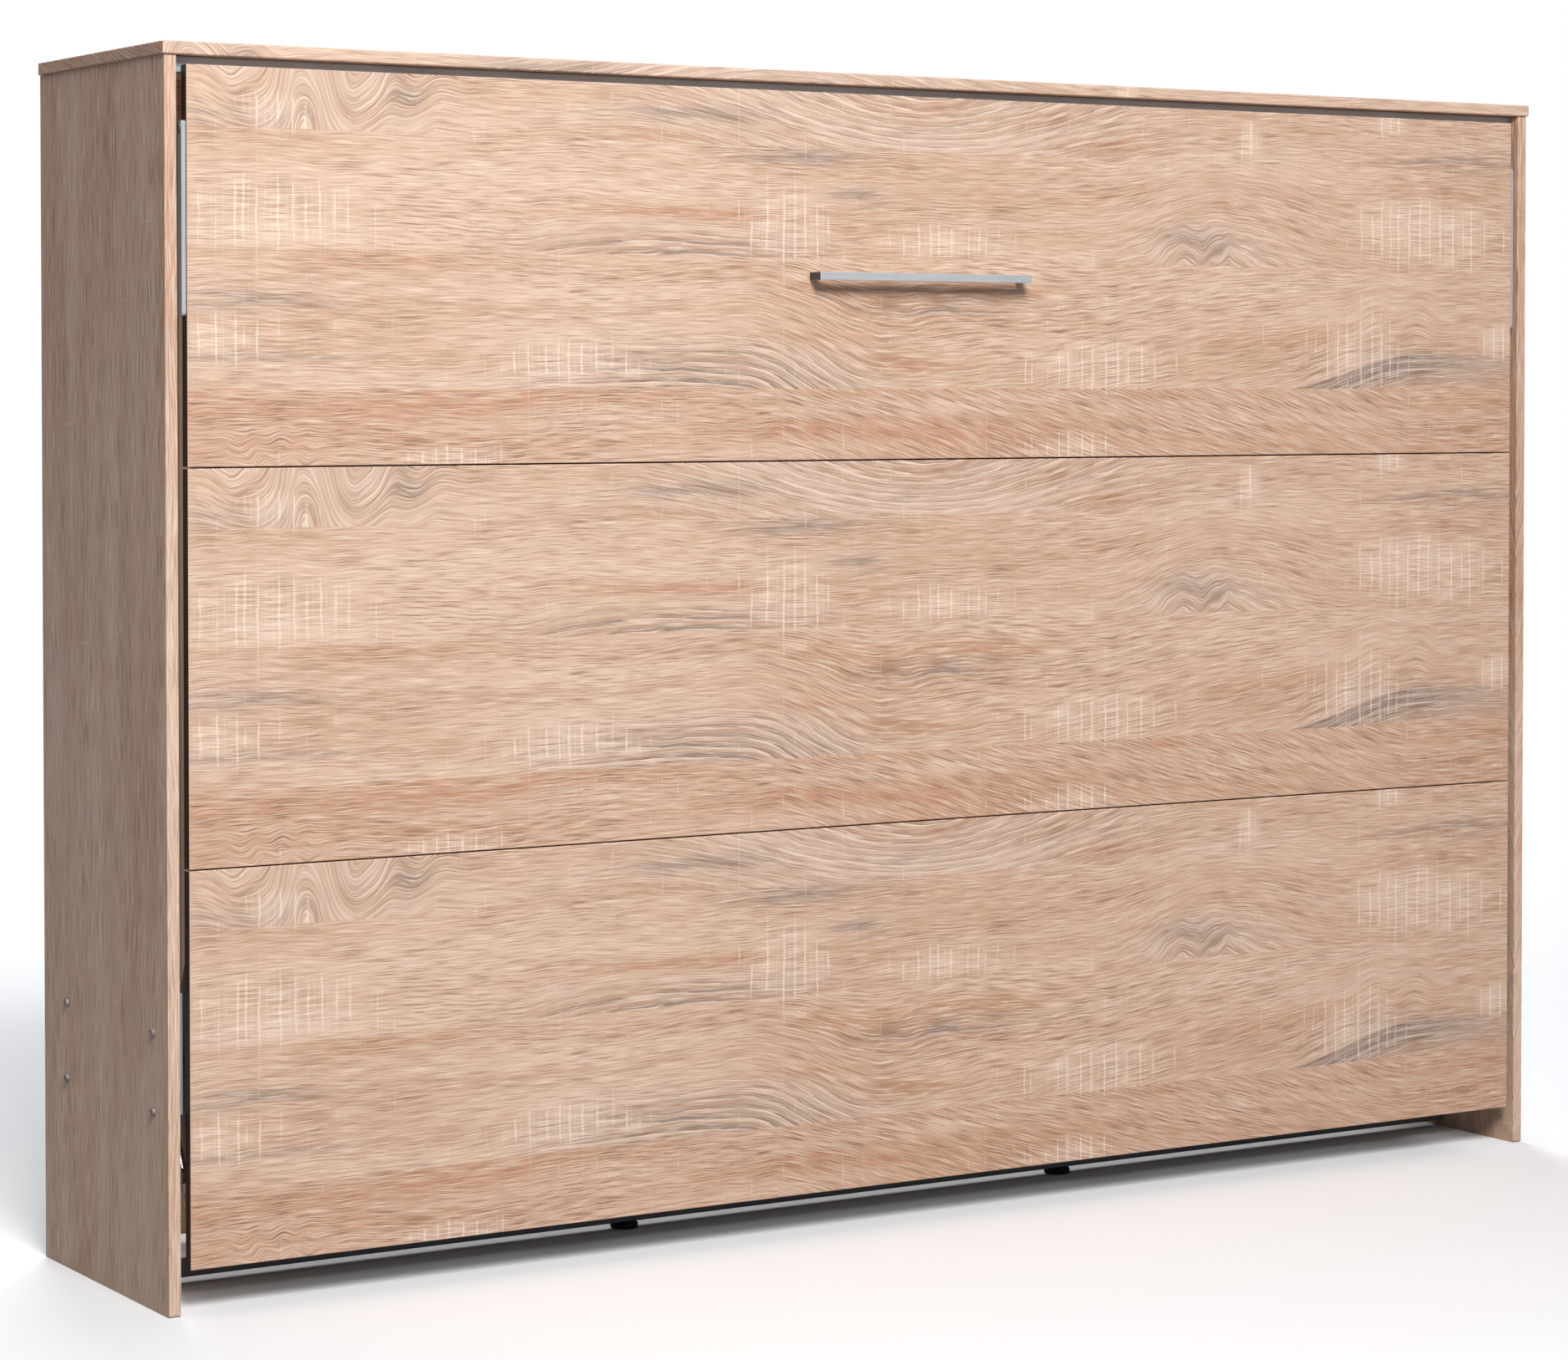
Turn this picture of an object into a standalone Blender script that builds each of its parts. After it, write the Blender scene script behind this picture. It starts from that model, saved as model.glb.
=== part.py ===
"""Horizontal wall bed: a board cabinet with a bed that folds down out of its front.

Units are metres, +Z is up, the front faces -Y. X = 0 is the middle of the cabinet's width, Y = 0
the middle of its depth with the handle, and Z = 0 the floor. The bed is modelled folded away.
"""

import math

import bmesh
import bpy
from mathutils import Vector

# ---- driving dimensions -------------------------------------------------------------------------

MATTRESS_LENGTH = 2.000  # along X
MATTRESS_WIDTH = 1.400  # along Z when the bed is folded away
MATTRESS_THICKNESS = 0.170

DEPTH = 0.415  # front to back of the side panels
BOARD = 0.016  # laminated chipboard
TOUCH = 0.0003  # gap between pieces that bear on each other
RUNNING = 0.0003  # gap around a shaft

MECHANISM_ROOM = 0.040  # between a side panel and the steel bed frame
PANEL_GAP = 0.013  # between a side panel and the end of the front boards
TOP_GAP = 0.0115  # between the top board and the front boards
FLOOR_GAP = 0.056  # under the front boards
BOARD_JOINT = 0.002  # between two front boards
FRONT_OVERHANG = 0.0035  # of the top board
SIDE_OVERHANG = 0.003

FRAME_INSET = 0.014  # from the bottom edge of the front boards to the frame
FRAME_INSET_TOP = 0.0175
FRAME_TUBE_FACE = 0.030  # tube width in the plane of the frame
FRAME_TUBE_DEPTH = 0.040
TUBE_WALL = 0.002
MATTRESS_SIDE_ROOM = 0.019
MATTRESS_HEAD_ROOM = 0.011
SLAT_COUNT = 11
SLAT_WIDTH = 0.070
SLAT_THICKNESS = 0.008
SLAT_BEARING = 0.0105  # how far a slat's end lies over a frame tube
LEDGE_REACH = 0.055
LEDGE_SHEET = 0.003
STRAP_WIDTH = 0.040
STRAP_THICKNESS = 0.002
STRAP_TAIL = 0.032  # the end that is fixed to the top tube

HANDLE_LENGTH = 0.346
HANDLE_REACH = 0.028
HANDLE_HEIGHT = 0.011
HANDLE_BAR = 0.009
HANDLE_DROP = 0.248  # below the top edge of the front boards

PIVOT_DEPTH = 0.080  # of the bed's hinge behind the front of the cabinet
PIVOT_HEIGHT = 0.307
PIVOT_RADIUS = 0.008
SPIGOT_RADIUS = 0.006  # of the hinge pin, in the mechanism plate
MECHANISM_PLATE = 0.004
PLATE_MARGIN = 0.024  # of the mechanism plate round its bolts
PLATE_RISE = 0.056  # of its upper edge above the upper bolts
FLANGE_CLEARANCE = 0.001  # between the plate's front flange and the ends of the front boards
ARM_PLATE = 0.005
BOLT_DEPTHS = (0.046, 0.334)
BOLT_HEIGHTS = (0.2495, 0.3485)
BOLT_RADIUS = 0.003
BOLT_HEAD_RADIUS = 0.006
BOLT_HEAD = 0.004

STRUT_ARM = (-0.040, -0.140)  # depth and height of the lower joint from the bed's hinge
STRUT_TOP = (0.350, 0.800)  # depth and height of the upper joint
STRUT_EYE = 0.011
STRUT_STUD_RADIUS = 0.005
STUD_COLLAR = 0.0075  # radius of the studs' collars
CYLINDER_RADIUS = 0.011
CYLINDER_LENGTH = 0.400
ROD_RADIUS = 0.005
ROD_ENGAGED = 0.100  # length of rod inside the cylinder with the bed folded away

LEG_THICKNESS = 0.0055
LEG_WIDTH = 0.012
LEG_SCREW_RADIUS = 0.003
LEG_SCREW_LENGTH = 0.030  # in the end of the upper front board
LEG_PIVOT_DROP = 0.077  # below the top edge of the front boards
LEG_END = 0.008  # from the pivot to the upper end of the leg
LEG_FLOOR_GAP = 0.002

STOP_CLEARANCE = 0.002  # between the stop rail and the back of the front boards
STOP_RAIL_DEPTH = 0.020
STOP_OVERLAP = 0.0095  # how far the rail reaches down behind the front boards
FLOOR_RAIL_SET_BACK = 0.160
FLOOR_RAIL_DEPTH = 0.030
FLOOR_RAIL_HEIGHT = 0.026
FOOT_HEIGHT = 0.010
FOOT_RADIUS = 0.019
TRAVERSE_HEIGHT = 0.120
LOWER_TRAVERSE_HEIGHT = 0.012  # of its lower edge above the floor
BRACKET_LEG = 0.040
BRACKET_LENGTH = 0.060
BRACKET_SHEET = 0.003
BRACKET_HOLE_RADIUS = 0.004

# ---- derived dimensions -------------------------------------------------------------------------

INNER_HALF = MATTRESS_LENGTH / 2 + MATTRESS_SIDE_ROOM + FRAME_TUBE_FACE + MECHANISM_ROOM
WIDTH = 2 * (INNER_HALF + BOARD)
FRONT = -(DEPTH - HANDLE_REACH) / 2  # Y of the side panels' front edges

PANEL_BOTTOM = FLOOR_GAP
FRAME_BOTTOM = PANEL_BOTTOM + FRAME_INSET
SLAT_BOTTOM = FRAME_BOTTOM + FRAME_TUBE_FACE - SLAT_BEARING
MATTRESS_BOTTOM = SLAT_BOTTOM - 0.0005
MATTRESS_TOP = MATTRESS_BOTTOM + MATTRESS_WIDTH
TOP_TUBE_BOTTOM = MATTRESS_TOP + MATTRESS_HEAD_ROOM
FRAME_TOP = TOP_TUBE_BOTTOM + FRAME_TUBE_FACE
PANEL_TOP = FRAME_TOP + FRAME_INSET_TOP
CARCASS_TOP = PANEL_TOP + TOP_GAP  # underside of the top board
HEIGHT = CARCASS_TOP + BOARD

FRAME_FRONT = BOARD + TOUCH  # depths from here on are measured from the front of the cabinet
FRAME_REAR = FRAME_FRONT + FRAME_TUBE_DEPTH
SLAT_REAR = FRAME_REAR + TOUCH + SLAT_THICKNESS
MATTRESS_FRONT = SLAT_REAR + TOUCH
MATTRESS_REAR = MATTRESS_FRONT + MATTRESS_THICKNESS
FRAME_HALF = INNER_HALF - MECHANISM_ROOM
PANEL_HALF = INNER_HALF - PANEL_GAP

ARM_INSET = MECHANISM_ROOM - TOUCH - ARM_PLATE  # insets are measured inwards from a side panel
STRUT_INSET = (TOUCH + MECHANISM_PLATE + ARM_INSET) / 2 + 0.0015
STUD_TIP = STRUT_INSET + STRUT_EYE / 2 + 0.0005
LEG_PIVOT_DEPTH = BOARD / 2
LEG_PIVOT_HEIGHT = PANEL_TOP - LEG_PIVOT_DROP
LEG_LENGTH = PIVOT_HEIGHT + LEG_PIVOT_DEPTH - PIVOT_DEPTH - LEG_FLOOR_GAP
LEG_INSET = PANEL_GAP - TOUCH - LEG_THICKNESS
SLAT_PITCH = (2 * FRAME_HALF - 2 * FRAME_TUBE_FACE - SLAT_WIDTH) / (SLAT_COUNT + 0.3)
STRAP_OFFSET = 2.5 * SLAT_PITCH

# ---- materials ----------------------------------------------------------------------------------

FINISHES = {
    "oak_laminate": ((0.52, 0.42, 0.34), 0.55, 0.0),
    "silver_metal": ((0.60, 0.61, 0.62), 0.35, 0.9),
    "zinc_steel": ((0.46, 0.48, 0.50), 0.40, 0.9),
    "black_steel": ((0.045, 0.046, 0.050), 0.45, 0.6),
    "grey_lacquer": ((0.11, 0.12, 0.14), 0.50, 0.3),
    "frame_lacquer": ((0.42, 0.43, 0.44), 0.45, 0.3),
    "birch": ((0.72, 0.58, 0.40), 0.55, 0.0),
    "black_plastic": ((0.020, 0.020, 0.022), 0.50, 0.0),
    "ticking": ((0.82, 0.82, 0.80), 0.90, 0.0),
    "webbing": ((0.10, 0.10, 0.11), 0.85, 0.0),
}


def finish(name):
    """The material of that name, made the first time it is asked for."""
    if name in bpy.data.materials:
        return bpy.data.materials[name]
    colour, roughness, metallic = FINISHES[name]
    material = bpy.data.materials.new(name)
    material.use_nodes = True
    shader = material.node_tree.nodes["Principled BSDF"]
    shader.inputs["Base Color"].default_value = (*colour, 1.0)
    shader.inputs["Roughness"].default_value = roughness
    shader.inputs["Metallic"].default_value = metallic
    return material


# ---- placing ------------------------------------------------------------------------------------

ALONG_X = (math.radians(90), 0.0, math.radians(90))  # local X, Y and Z become world Y, Z and X
ALONG_Y = (math.radians(90), 0.0, 0.0)  # local X, Y and Z become world X, Z and -Y


def place(obj, at, turn=(0.0, 0.0, 0.0), parent=None):
    """Puts an object at a world position, under an empty that has one of its own."""
    obj.rotation_euler = turn
    obj.location = Vector(at)
    if parent:
        obj.parent = parent
        obj.location -= parent.location
    return obj


def add_object(name, data, material, collection=None):
    obj = bpy.data.objects.new(name, data)
    if material:
        data.materials.append(finish(material))
    (collection or bpy.context.scene.collection).objects.link(obj)
    return obj


def axis_empty(name, at):
    empty = bpy.data.objects.new(name, None)
    empty.empty_display_size = 0.05
    bpy.context.scene.collection.objects.link(empty)
    empty.location = at
    return empty


def inset_x(side, inset):
    """X of a plane that lies inset inwards from the inner face of one side panel."""
    return side * (INNER_HALF - inset)


def inwards(side):
    """Turns local Z inwards from one side panel."""
    return (0.0, -side * math.radians(90), 0.0)


# ---- shapes -------------------------------------------------------------------------------------


def soften(obj, width, segments=2):
    bevel = obj.modifiers.new("edges", "BEVEL")
    bevel.width = width
    bevel.segments = segments
    bevel.limit_method = "ANGLE"
    bevel.angle_limit = math.radians(40)


def block(name, low, high, material, edge=0.0008, segments=2, parent=None):
    """A rectangular piece between two corners, with softened edges and its origin in its middle."""
    low, high = Vector(low), Vector(high)
    half = (high - low) / 2
    mesh = bpy.data.meshes.new(name)
    bm = bmesh.new()
    bmesh.ops.create_cube(bm, size=2.0)
    bmesh.ops.scale(bm, vec=half, verts=bm.verts)
    bm.to_mesh(mesh)
    bm.free()
    obj = place(add_object(name, mesh, material), (low + high) / 2, parent=parent)
    if edge:
        soften(obj, edge, segments)
    return obj


def circle(centre, radius, steps=24):
    """Points round a circle, in order."""
    turns = (2 * math.pi * i / steps for i in range(steps))
    return [(centre[0] + radius * math.cos(a), centre[1] + radius * math.sin(a)) for a in turns]


def rounded(corners, radii, steps=5):
    """An outline through the corners, each rounded by its own radius."""
    points = []
    for i, corner in enumerate(corners):
        here = Vector(corner)
        before = (Vector(corners[i - 1]) - here).normalized()
        after = (Vector(corners[(i + 1) % len(corners)]) - here).normalized()
        radius = radii[i] if isinstance(radii, (list, tuple)) else radii
        if radius == 0:
            points.append(tuple(here))
            continue
        half = before.angle(after) / 2
        centre = here + (before + after).normalized() * radius / math.sin(half)
        start = here + before * radius / math.tan(half) - centre
        end = here + after * radius / math.tan(half) - centre
        for step in range(steps + 1):
            points.append(tuple(centre + start.slerp(end, step / steps) * radius))
    return points


def extruded(name, outline, holes, thickness, material, collection=None):
    """A flat outline with holes, extruded half its thickness each way along local Z."""
    curve = bpy.data.curves.new(name, "CURVE")
    curve.dimensions = "2D"
    curve.fill_mode = "BOTH"
    curve.extrude = thickness / 2
    for loop in [outline, *holes]:
        spline = curve.splines.new("POLY")
        spline.points.add(len(loop) - 1)
        for point, (x, y) in zip(spline.points, loop):
            point.co = (x, y, 0.0, 1.0)
        spline.use_cyclic_u = True
    return add_object(name, curve, material, collection)


def turned(name, profile, material, steps=24, collection=None):
    """A solid turned about local Z from (radius, height) points that run from axis to axis."""
    mesh = bpy.data.meshes.new(name)
    bm = bmesh.new()
    points = [bm.verts.new((radius, 0.0, height)) for radius, height in profile]
    edges = [bm.edges.new(pair) for pair in zip(points, points[1:])]
    bmesh.ops.spin(
        bm,
        geom=points + edges,
        cent=(0.0, 0.0, 0.0),
        axis=(0.0, 0.0, 1.0),
        angle=2 * math.pi,
        steps=steps,
        use_merge=True,
    )
    bmesh.ops.remove_doubles(bm, verts=bm.verts, dist=1e-6)
    bmesh.ops.recalc_face_normals(bm, faces=bm.faces)
    bm.to_mesh(mesh)
    bm.free()
    mesh.shade_smooth()
    mesh.set_sharp_from_angle(angle=math.radians(35))
    return add_object(name, mesh, material, collection)


def helper(obj):
    """Keeps an object that only shapes another out of the model."""
    obj.hide_render = True
    obj.display_type = "WIRE"
    return obj


def combine(obj, other, operation):
    modifier = obj.modifiers.new(other.name, "BOOLEAN")
    modifier.operation = operation
    modifier.solver = "EXACT"
    modifier.object = helper(other)


def as_mesh(obj):
    """Turns a curve object into a mesh object of the same name and place, with its faces joined."""
    graph = bpy.context.evaluated_depsgraph_get()
    bpy.context.view_layer.update()
    mesh = bpy.data.meshes.new_from_object(obj.evaluated_get(graph))
    bm = bmesh.new()
    bm.from_mesh(mesh)
    bmesh.ops.remove_doubles(bm, verts=bm.verts, dist=1e-6)
    bmesh.ops.recalc_face_normals(bm, faces=bm.faces)
    bm.to_mesh(mesh)
    bm.free()
    name, materials = obj.name, [slot.material for slot in obj.material_slots]
    where, turn, parent = obj.location.copy(), obj.rotation_euler.copy(), obj.parent
    curve = obj.data
    bpy.data.objects.remove(obj)
    bpy.data.curves.remove(curve)
    made = add_object(name, mesh, None)
    mesh.materials.clear()
    for material in materials:
        mesh.materials.append(material)
    made.location, made.rotation_euler, made.parent = where, turn, parent
    return made


def drill(obj, centre, radius, depth, turn):
    """Cuts a round hole through obj. depth is the length of the cutter, along its own Z."""
    cutter = turned(
        f"{obj.name}_drill_{len(obj.modifiers)}",
        [(0.0, -depth / 2), (radius, -depth / 2), (radius, depth / 2), (0.0, depth / 2)],
        None,
    )
    place(cutter, centre, turn)
    combine(obj, cutter, "DIFFERENCE")


def tube(name, low, high, axis, material, parent=None):
    """A rectangular tube with open ends between two corners, running along X, Y or Z."""
    low, high = Vector(low), Vector(high)
    size, middle = high - low, (low + high) / 2
    across = {"X": (size.y, size.z), "Z": (size.x, size.y)}[axis]
    length = {"X": size.x, "Z": size.z}[axis]
    loops = []
    for shrink, radius in ((0.0, 0.003), (TUBE_WALL, 0.001)):
        a, b = across[0] / 2 - shrink, across[1] / 2 - shrink
        loops.append(rounded([(-a, -b), (a, -b), (a, b), (-a, b)], radius, steps=2))
    obj = extruded(name, loops[0], loops[1:], length, material)
    return place(obj, middle, ALONG_X if axis == "X" else (0.0, 0.0, 0.0), parent)


# ---- cabinet ------------------------------------------------------------------------------------

SIDES = (("left", -1), ("right", 1))


def side_panel(name, side):
    """A side board on the floor, its bottom corners rounded, drilled for the mechanism's bolts."""
    corner = 0.0035
    y0, y1, z1 = FRONT, FRONT + DEPTH, CARCASS_TOP - TOUCH
    outline = rounded([(y0, 0.0), (y1, 0.0), (y1, z1), (y0, z1)], [corner, corner, 0, 0], steps=3)
    board = as_mesh(extruded(f"{name}_side_panel", outline, [], BOARD, "oak_laminate"))
    place(board, (side * (INNER_HALF + BOARD / 2), 0.0, 0.0), ALONG_X)
    soften(board, 0.0006)
    for depth in BOLT_DEPTHS:
        for height in BOLT_HEIGHTS:
            centre = (side * (INNER_HALF + BOARD / 2), FRONT + depth, height)
            drill(board, centre, BOLT_RADIUS + RUNNING, 2 * BOARD, inwards(side))


def top_board():
    half = WIDTH / 2 + SIDE_OVERHANG
    low = (-half, FRONT - FRONT_OVERHANG, CARCASS_TOP)
    block("top_board", low, (half, FRONT + DEPTH, HEIGHT), "oak_laminate", edge=0.0015)


def cross_rails():
    """The stop rail under the top board and the rail near the floor, both steel tubes."""
    half = INNER_HALF - TOUCH
    y0 = FRONT + BOARD + STOP_CLEARANCE
    low = (-half, y0, PANEL_TOP - STOP_OVERLAP)
    high = (half, y0 + STOP_RAIL_DEPTH, CARCASS_TOP - TOUCH)
    tube("top_stop_rail", low, high, "X", "frame_lacquer")
    y0 = FRONT + FLOOR_RAIL_SET_BACK
    low = (-half, y0, FOOT_HEIGHT)
    high = (half, y0 + FLOOR_RAIL_DEPTH, FOOT_HEIGHT + FLOOR_RAIL_HEIGHT)
    tube("front_floor_rail", low, high, "X", "grey_lacquer")


def rail_feet():
    """Two turned plastic feet that carry the floor rail at its thirds."""
    chamfer = 0.0015
    top = FOOT_HEIGHT - TOUCH
    profile = [(0.0, 0.0), (FOOT_RADIUS - chamfer, 0.0), (FOOT_RADIUS, chamfer)]
    profile += [(FOOT_RADIUS, top - chamfer), (FOOT_RADIUS - chamfer, top), (0.0, top)]
    y = FRONT + FLOOR_RAIL_SET_BACK + FLOOR_RAIL_DEPTH / 2
    for name, side in SIDES:
        foot = turned(f"floor_rail_foot_{name}", profile, "black_plastic")
        place(foot, (side * INNER_HALF / 3, y, 0.0))


def rear_traverses():
    """Boards across the back: the upper one takes the wall screws."""
    half = INNER_HALF - TOUCH
    y0, y1 = FRONT + DEPTH - BOARD, FRONT + DEPTH
    z1 = CARCASS_TOP - TOUCH
    low = (-half, y0, z1 - TRAVERSE_HEIGHT)
    upper = block("upper_rear_traverse", low, (half, y1, z1), "oak_laminate", edge=0)
    z0 = LOWER_TRAVERSE_HEIGHT
    block(
        "lower_rear_traverse",
        (-half, y0, z0),
        (half, y1, z0 + TRAVERSE_HEIGHT),
        "oak_laminate",
        edge=0,
    )
    for name, side in SIDES:
        wall_bracket(name, side, upper)


def wall_bracket(name, side, traverse):
    """A steel angle in the corner of the top board and the upper traverse, with a screw hole."""
    leg, sheet = BRACKET_LEG, BRACKET_SHEET
    y1, z1 = FRONT + DEPTH - BOARD - TOUCH, CARCASS_TOP - TOUCH
    outline = [(y1, z1), (y1 - leg, z1), (y1 - leg, z1 - sheet)]
    outline += [(y1 - sheet, z1 - sheet), (y1 - sheet, z1 - leg), (y1, z1 - leg)]
    x = side * WIDTH / 4
    obj = extruded(f"wall_bracket_{name}", outline, [], BRACKET_LENGTH, "zinc_steel")
    bracket = as_mesh(place(obj, (x, 0.0, 0.0), ALONG_X))
    hole = (x, y1, z1 - leg / 2 - sheet / 2)
    drill(bracket, hole, BRACKET_HOLE_RADIUS, 3 * leg, ALONG_Y)
    drill(traverse, hole, BRACKET_HOLE_RADIUS, 3 * leg, ALONG_Y)


def mechanism_plate(name, side):
    """The fixed steel plate bolted to the side panel: it carries the hinge pin, and has a flange."""
    chamfer, small_chamfer, flat_top, shoulder = 0.020, 0.004, 0.150, 0.055
    y0 = FRONT + BOLT_DEPTHS[0] - PLATE_MARGIN
    y1 = FRONT + BOLT_DEPTHS[1] + PLATE_MARGIN
    z0, z1 = BOLT_HEIGHTS[0] - PLATE_MARGIN, BOLT_HEIGHTS[1] + PLATE_RISE
    outline = [(y0 + chamfer, z0), (y1 - chamfer, z0), (y1, z0 + chamfer)]
    outline += [(y1, PIVOT_HEIGHT + shoulder), (y0 + flat_top, z1), (y0 + small_chamfer, z1)]
    outline += [(y0, z1 - small_chamfer), (y0, z0 + chamfer)]
    holes = [
        circle((FRONT + depth, height), BOLT_RADIUS + RUNNING, 16)
        for depth in BOLT_DEPTHS
        for height in BOLT_HEIGHTS
    ]
    holes.append(circle((FRONT + PIVOT_DEPTH, PIVOT_HEIGHT), SPIGOT_RADIUS + RUNNING))
    obj = extruded(f"mechanism_plate_{name}", outline, holes, MECHANISM_PLATE, "grey_lacquer")
    at = (inset_x(side, TOUCH + MECHANISM_PLATE / 2), 0.0, 0.0)
    plate = as_mesh(place(obj, at, ALONG_X))
    x0, x1 = sorted((at[0], inset_x(side, PANEL_GAP - FLANGE_CLEARANCE)))
    proud, short = 0.001, 0.002
    low = (x0, y0 - proud, z0 + chamfer + short)
    high = (x1, y0 - proud + MECHANISM_PLATE, z1 - small_chamfer - short)
    combine(plate, block(f"mechanism_plate_{name}_flange", low, high, None, edge=0), "UNION")


def mechanism_bolts(name, side):
    """Four round-headed socket bolts through the side panel and the mechanism plate."""
    r, head, dimple, dimple_depth = BOLT_RADIUS, BOLT_HEAD_RADIUS, 0.0025, 0.002
    crown, rim, chamfer, proud = 0.0025, 0.001, 0.0008, 0.001
    under = -BOARD - TOUCH
    top = under - BOLT_HEAD
    tip = TOUCH + MECHANISM_PLATE + proud
    profile = [(0.0, top + dimple_depth), (dimple, top + dimple_depth), (dimple, top)]
    profile += [(head - crown, top), (head - chamfer, top + 0.0012), (head, under - rim)]
    profile += [(head, under), (r, under), (r, tip - chamfer), (r - chamfer, tip), (0.0, tip)]
    names = ("lower_front", "upper_front", "lower_rear", "upper_rear")
    spots = [(depth, height) for depth in BOLT_DEPTHS for height in BOLT_HEIGHTS]
    for spot_name, (depth, height) in zip(names, spots):
        bolt = turned(f"bolt_{name}_{spot_name}", profile, "zinc_steel", steps=16)
        place(bolt, (inset_x(side, 0.0), FRONT + depth, height), inwards(side))


def pivot_pin(name, side):
    """The stepped pin that the bed turns on: spigot, collar, journal and retaining head."""
    collar, collar_thick, body, head, chamfer = 0.014, 0.003, 0.011, 0.012, 0.0015
    spigot, spigot_end = SPIGOT_RADIUS, 2 * TOUCH
    plate_inner = TOUCH + MECHANISM_PLATE + TOUCH
    collar_end = plate_inner + collar_thick
    arm_outer, arm_inner = ARM_INSET - TOUCH, MECHANISM_ROOM
    head_end = arm_inner + 0.0045
    profile = [(0.0, spigot_end), (spigot, spigot_end), (spigot, plate_inner)]
    profile += [(collar, plate_inner), (collar, collar_end), (body, collar_end)]
    profile += [(body, arm_outer), (PIVOT_RADIUS, arm_outer), (PIVOT_RADIUS, arm_inner)]
    profile += [(head, arm_inner), (head, head_end - chamfer), (head - chamfer, head_end)]
    profile += [(0.0, head_end)]
    pin = turned(f"pivot_pin_{name}", profile, "zinc_steel", steps=32)
    place(pin, (inset_x(side, 0.0), FRONT + PIVOT_DEPTH, PIVOT_HEIGHT), inwards(side))


def strut_bracket(name, side):
    """A plate on the side panel with the stud that the gas strut's upper eye hangs on."""
    half_y, half_z, sheet = 0.020, 0.032, MECHANISM_PLATE
    depth, height = STRUT_TOP
    corners = [(-half_y, -half_z), (half_y, -half_z), (half_y, half_z), (-half_y, half_z)]
    obj = extruded(f"strut_bracket_{name}", rounded(corners, 0.008, 3), [], sheet, "grey_lacquer")
    at = (inset_x(side, TOUCH + sheet / 2), FRONT + depth, height)
    bracket = as_mesh(place(obj, at, ALONG_X))
    eye_out, eye_in = STRUT_INSET - STRUT_EYE / 2, STRUT_INSET + STRUT_EYE / 2
    r, collar, head_end = STRUT_STUD_RADIUS, STUD_COLLAR, eye_in + 0.0025
    profile = [(0.0, TOUCH + sheet / 2), (collar, TOUCH + sheet / 2), (collar, eye_out - TOUCH)]
    profile += [(r, eye_out - TOUCH), (r, eye_in + TOUCH), (collar, eye_in + TOUCH)]
    profile += [(collar, head_end), (0.0, head_end)]
    stud = turned(f"strut_bracket_{name}_stud", profile, None)
    place(stud, (inset_x(side, 0.0), at[1], at[2]), inwards(side))
    combine(bracket, stud, "UNION")


# ---- bed ----------------------------------------------------------------------------------------


def front_boards(bed):
    """Three equal boards, one above the other, fixed to the outside of the steel frame."""
    height = (PANEL_TOP - PANEL_BOTTOM - 2 * BOARD_JOINT) / 3
    for i, name in enumerate(("lower", "middle", "upper")):
        z0 = PANEL_BOTTOM + i * (height + BOARD_JOINT)
        low, high = (-PANEL_HALF, FRONT, z0), (PANEL_HALF, FRONT + BOARD, z0 + height)
        board = block(f"front_board_{name}", low, high, "oak_laminate", edge=0.0010, parent=bed)
    for _, side in SIDES:
        end = (side * PANEL_HALF, FRONT + LEG_PIVOT_DEPTH, LEG_PIVOT_HEIGHT)
        hole = LEG_SCREW_LENGTH + 0.002
        drill(board, end, LEG_SCREW_RADIUS + RUNNING, 2 * hole, inwards(side))


def pull_handle(bed):
    """A square U handle with its two ends on the face of the upper board."""
    a, reach, bar = HANDLE_LENGTH / 2, HANDLE_REACH - TOUCH, HANDLE_BAR
    outline = [(-a, 0.0), (-a, -reach), (a, -reach), (a, 0.0), (a - bar, 0.0)]
    outline += [(a - bar, bar - reach), (bar - a, bar - reach), (bar - a, 0.0)]
    handle = as_mesh(extruded("pull_handle", outline, [], HANDLE_HEIGHT, "silver_metal"))
    place(handle, (0.0, FRONT - TOUCH, PANEL_TOP - HANDLE_DROP), parent=bed)
    soften(handle, 0.0008)


def bed_frame(bed):
    """Rectangular steel tubes: two long ones, two short ones between them and a middle beam."""
    y0, y1 = FRONT + FRAME_FRONT, FRONT + FRAME_REAR
    face, half = FRAME_TUBE_FACE, FRAME_HALF
    middle = (FRAME_BOTTOM + FRAME_TOP) / 2
    rows = (
        ("frame_tube_bottom", FRAME_BOTTOM, half),
        ("frame_tube_top", TOP_TUBE_BOTTOM, half),
        ("frame_middle_beam", middle - face / 2, half - face - TOUCH),
    )
    for name, z0, reach in rows:
        tube(name, (-reach, y0, z0), (reach, y1, z0 + face), "X", "frame_lacquer", bed)
    for name, side in SIDES:
        x0, x1 = sorted((side * half, side * (half - face)))
        low = (x0, y0, FRAME_BOTTOM + face + TOUCH)
        high = (x1, y1, TOP_TUBE_BOTTOM - TOUCH)
        tube(f"frame_tube_{name}", low, high, "Z", "frame_lacquer", bed)


def slats(bed):
    """Sprung slats across the frame, resting on its tubes and its middle beam."""
    y0 = FRONT + FRAME_REAR + TOUCH
    z1 = TOP_TUBE_BOTTOM + SLAT_BEARING
    for i in range(SLAT_COUNT):
        x = (i - (SLAT_COUNT - 1) / 2) * SLAT_PITCH
        low = (x - SLAT_WIDTH / 2, y0, SLAT_BOTTOM)
        high = (x + SLAT_WIDTH / 2, y0 + SLAT_THICKNESS, z1)
        block(f"slat_{i + 1:02d}", low, high, "birch", edge=0.002, segments=1, parent=bed)


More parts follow.
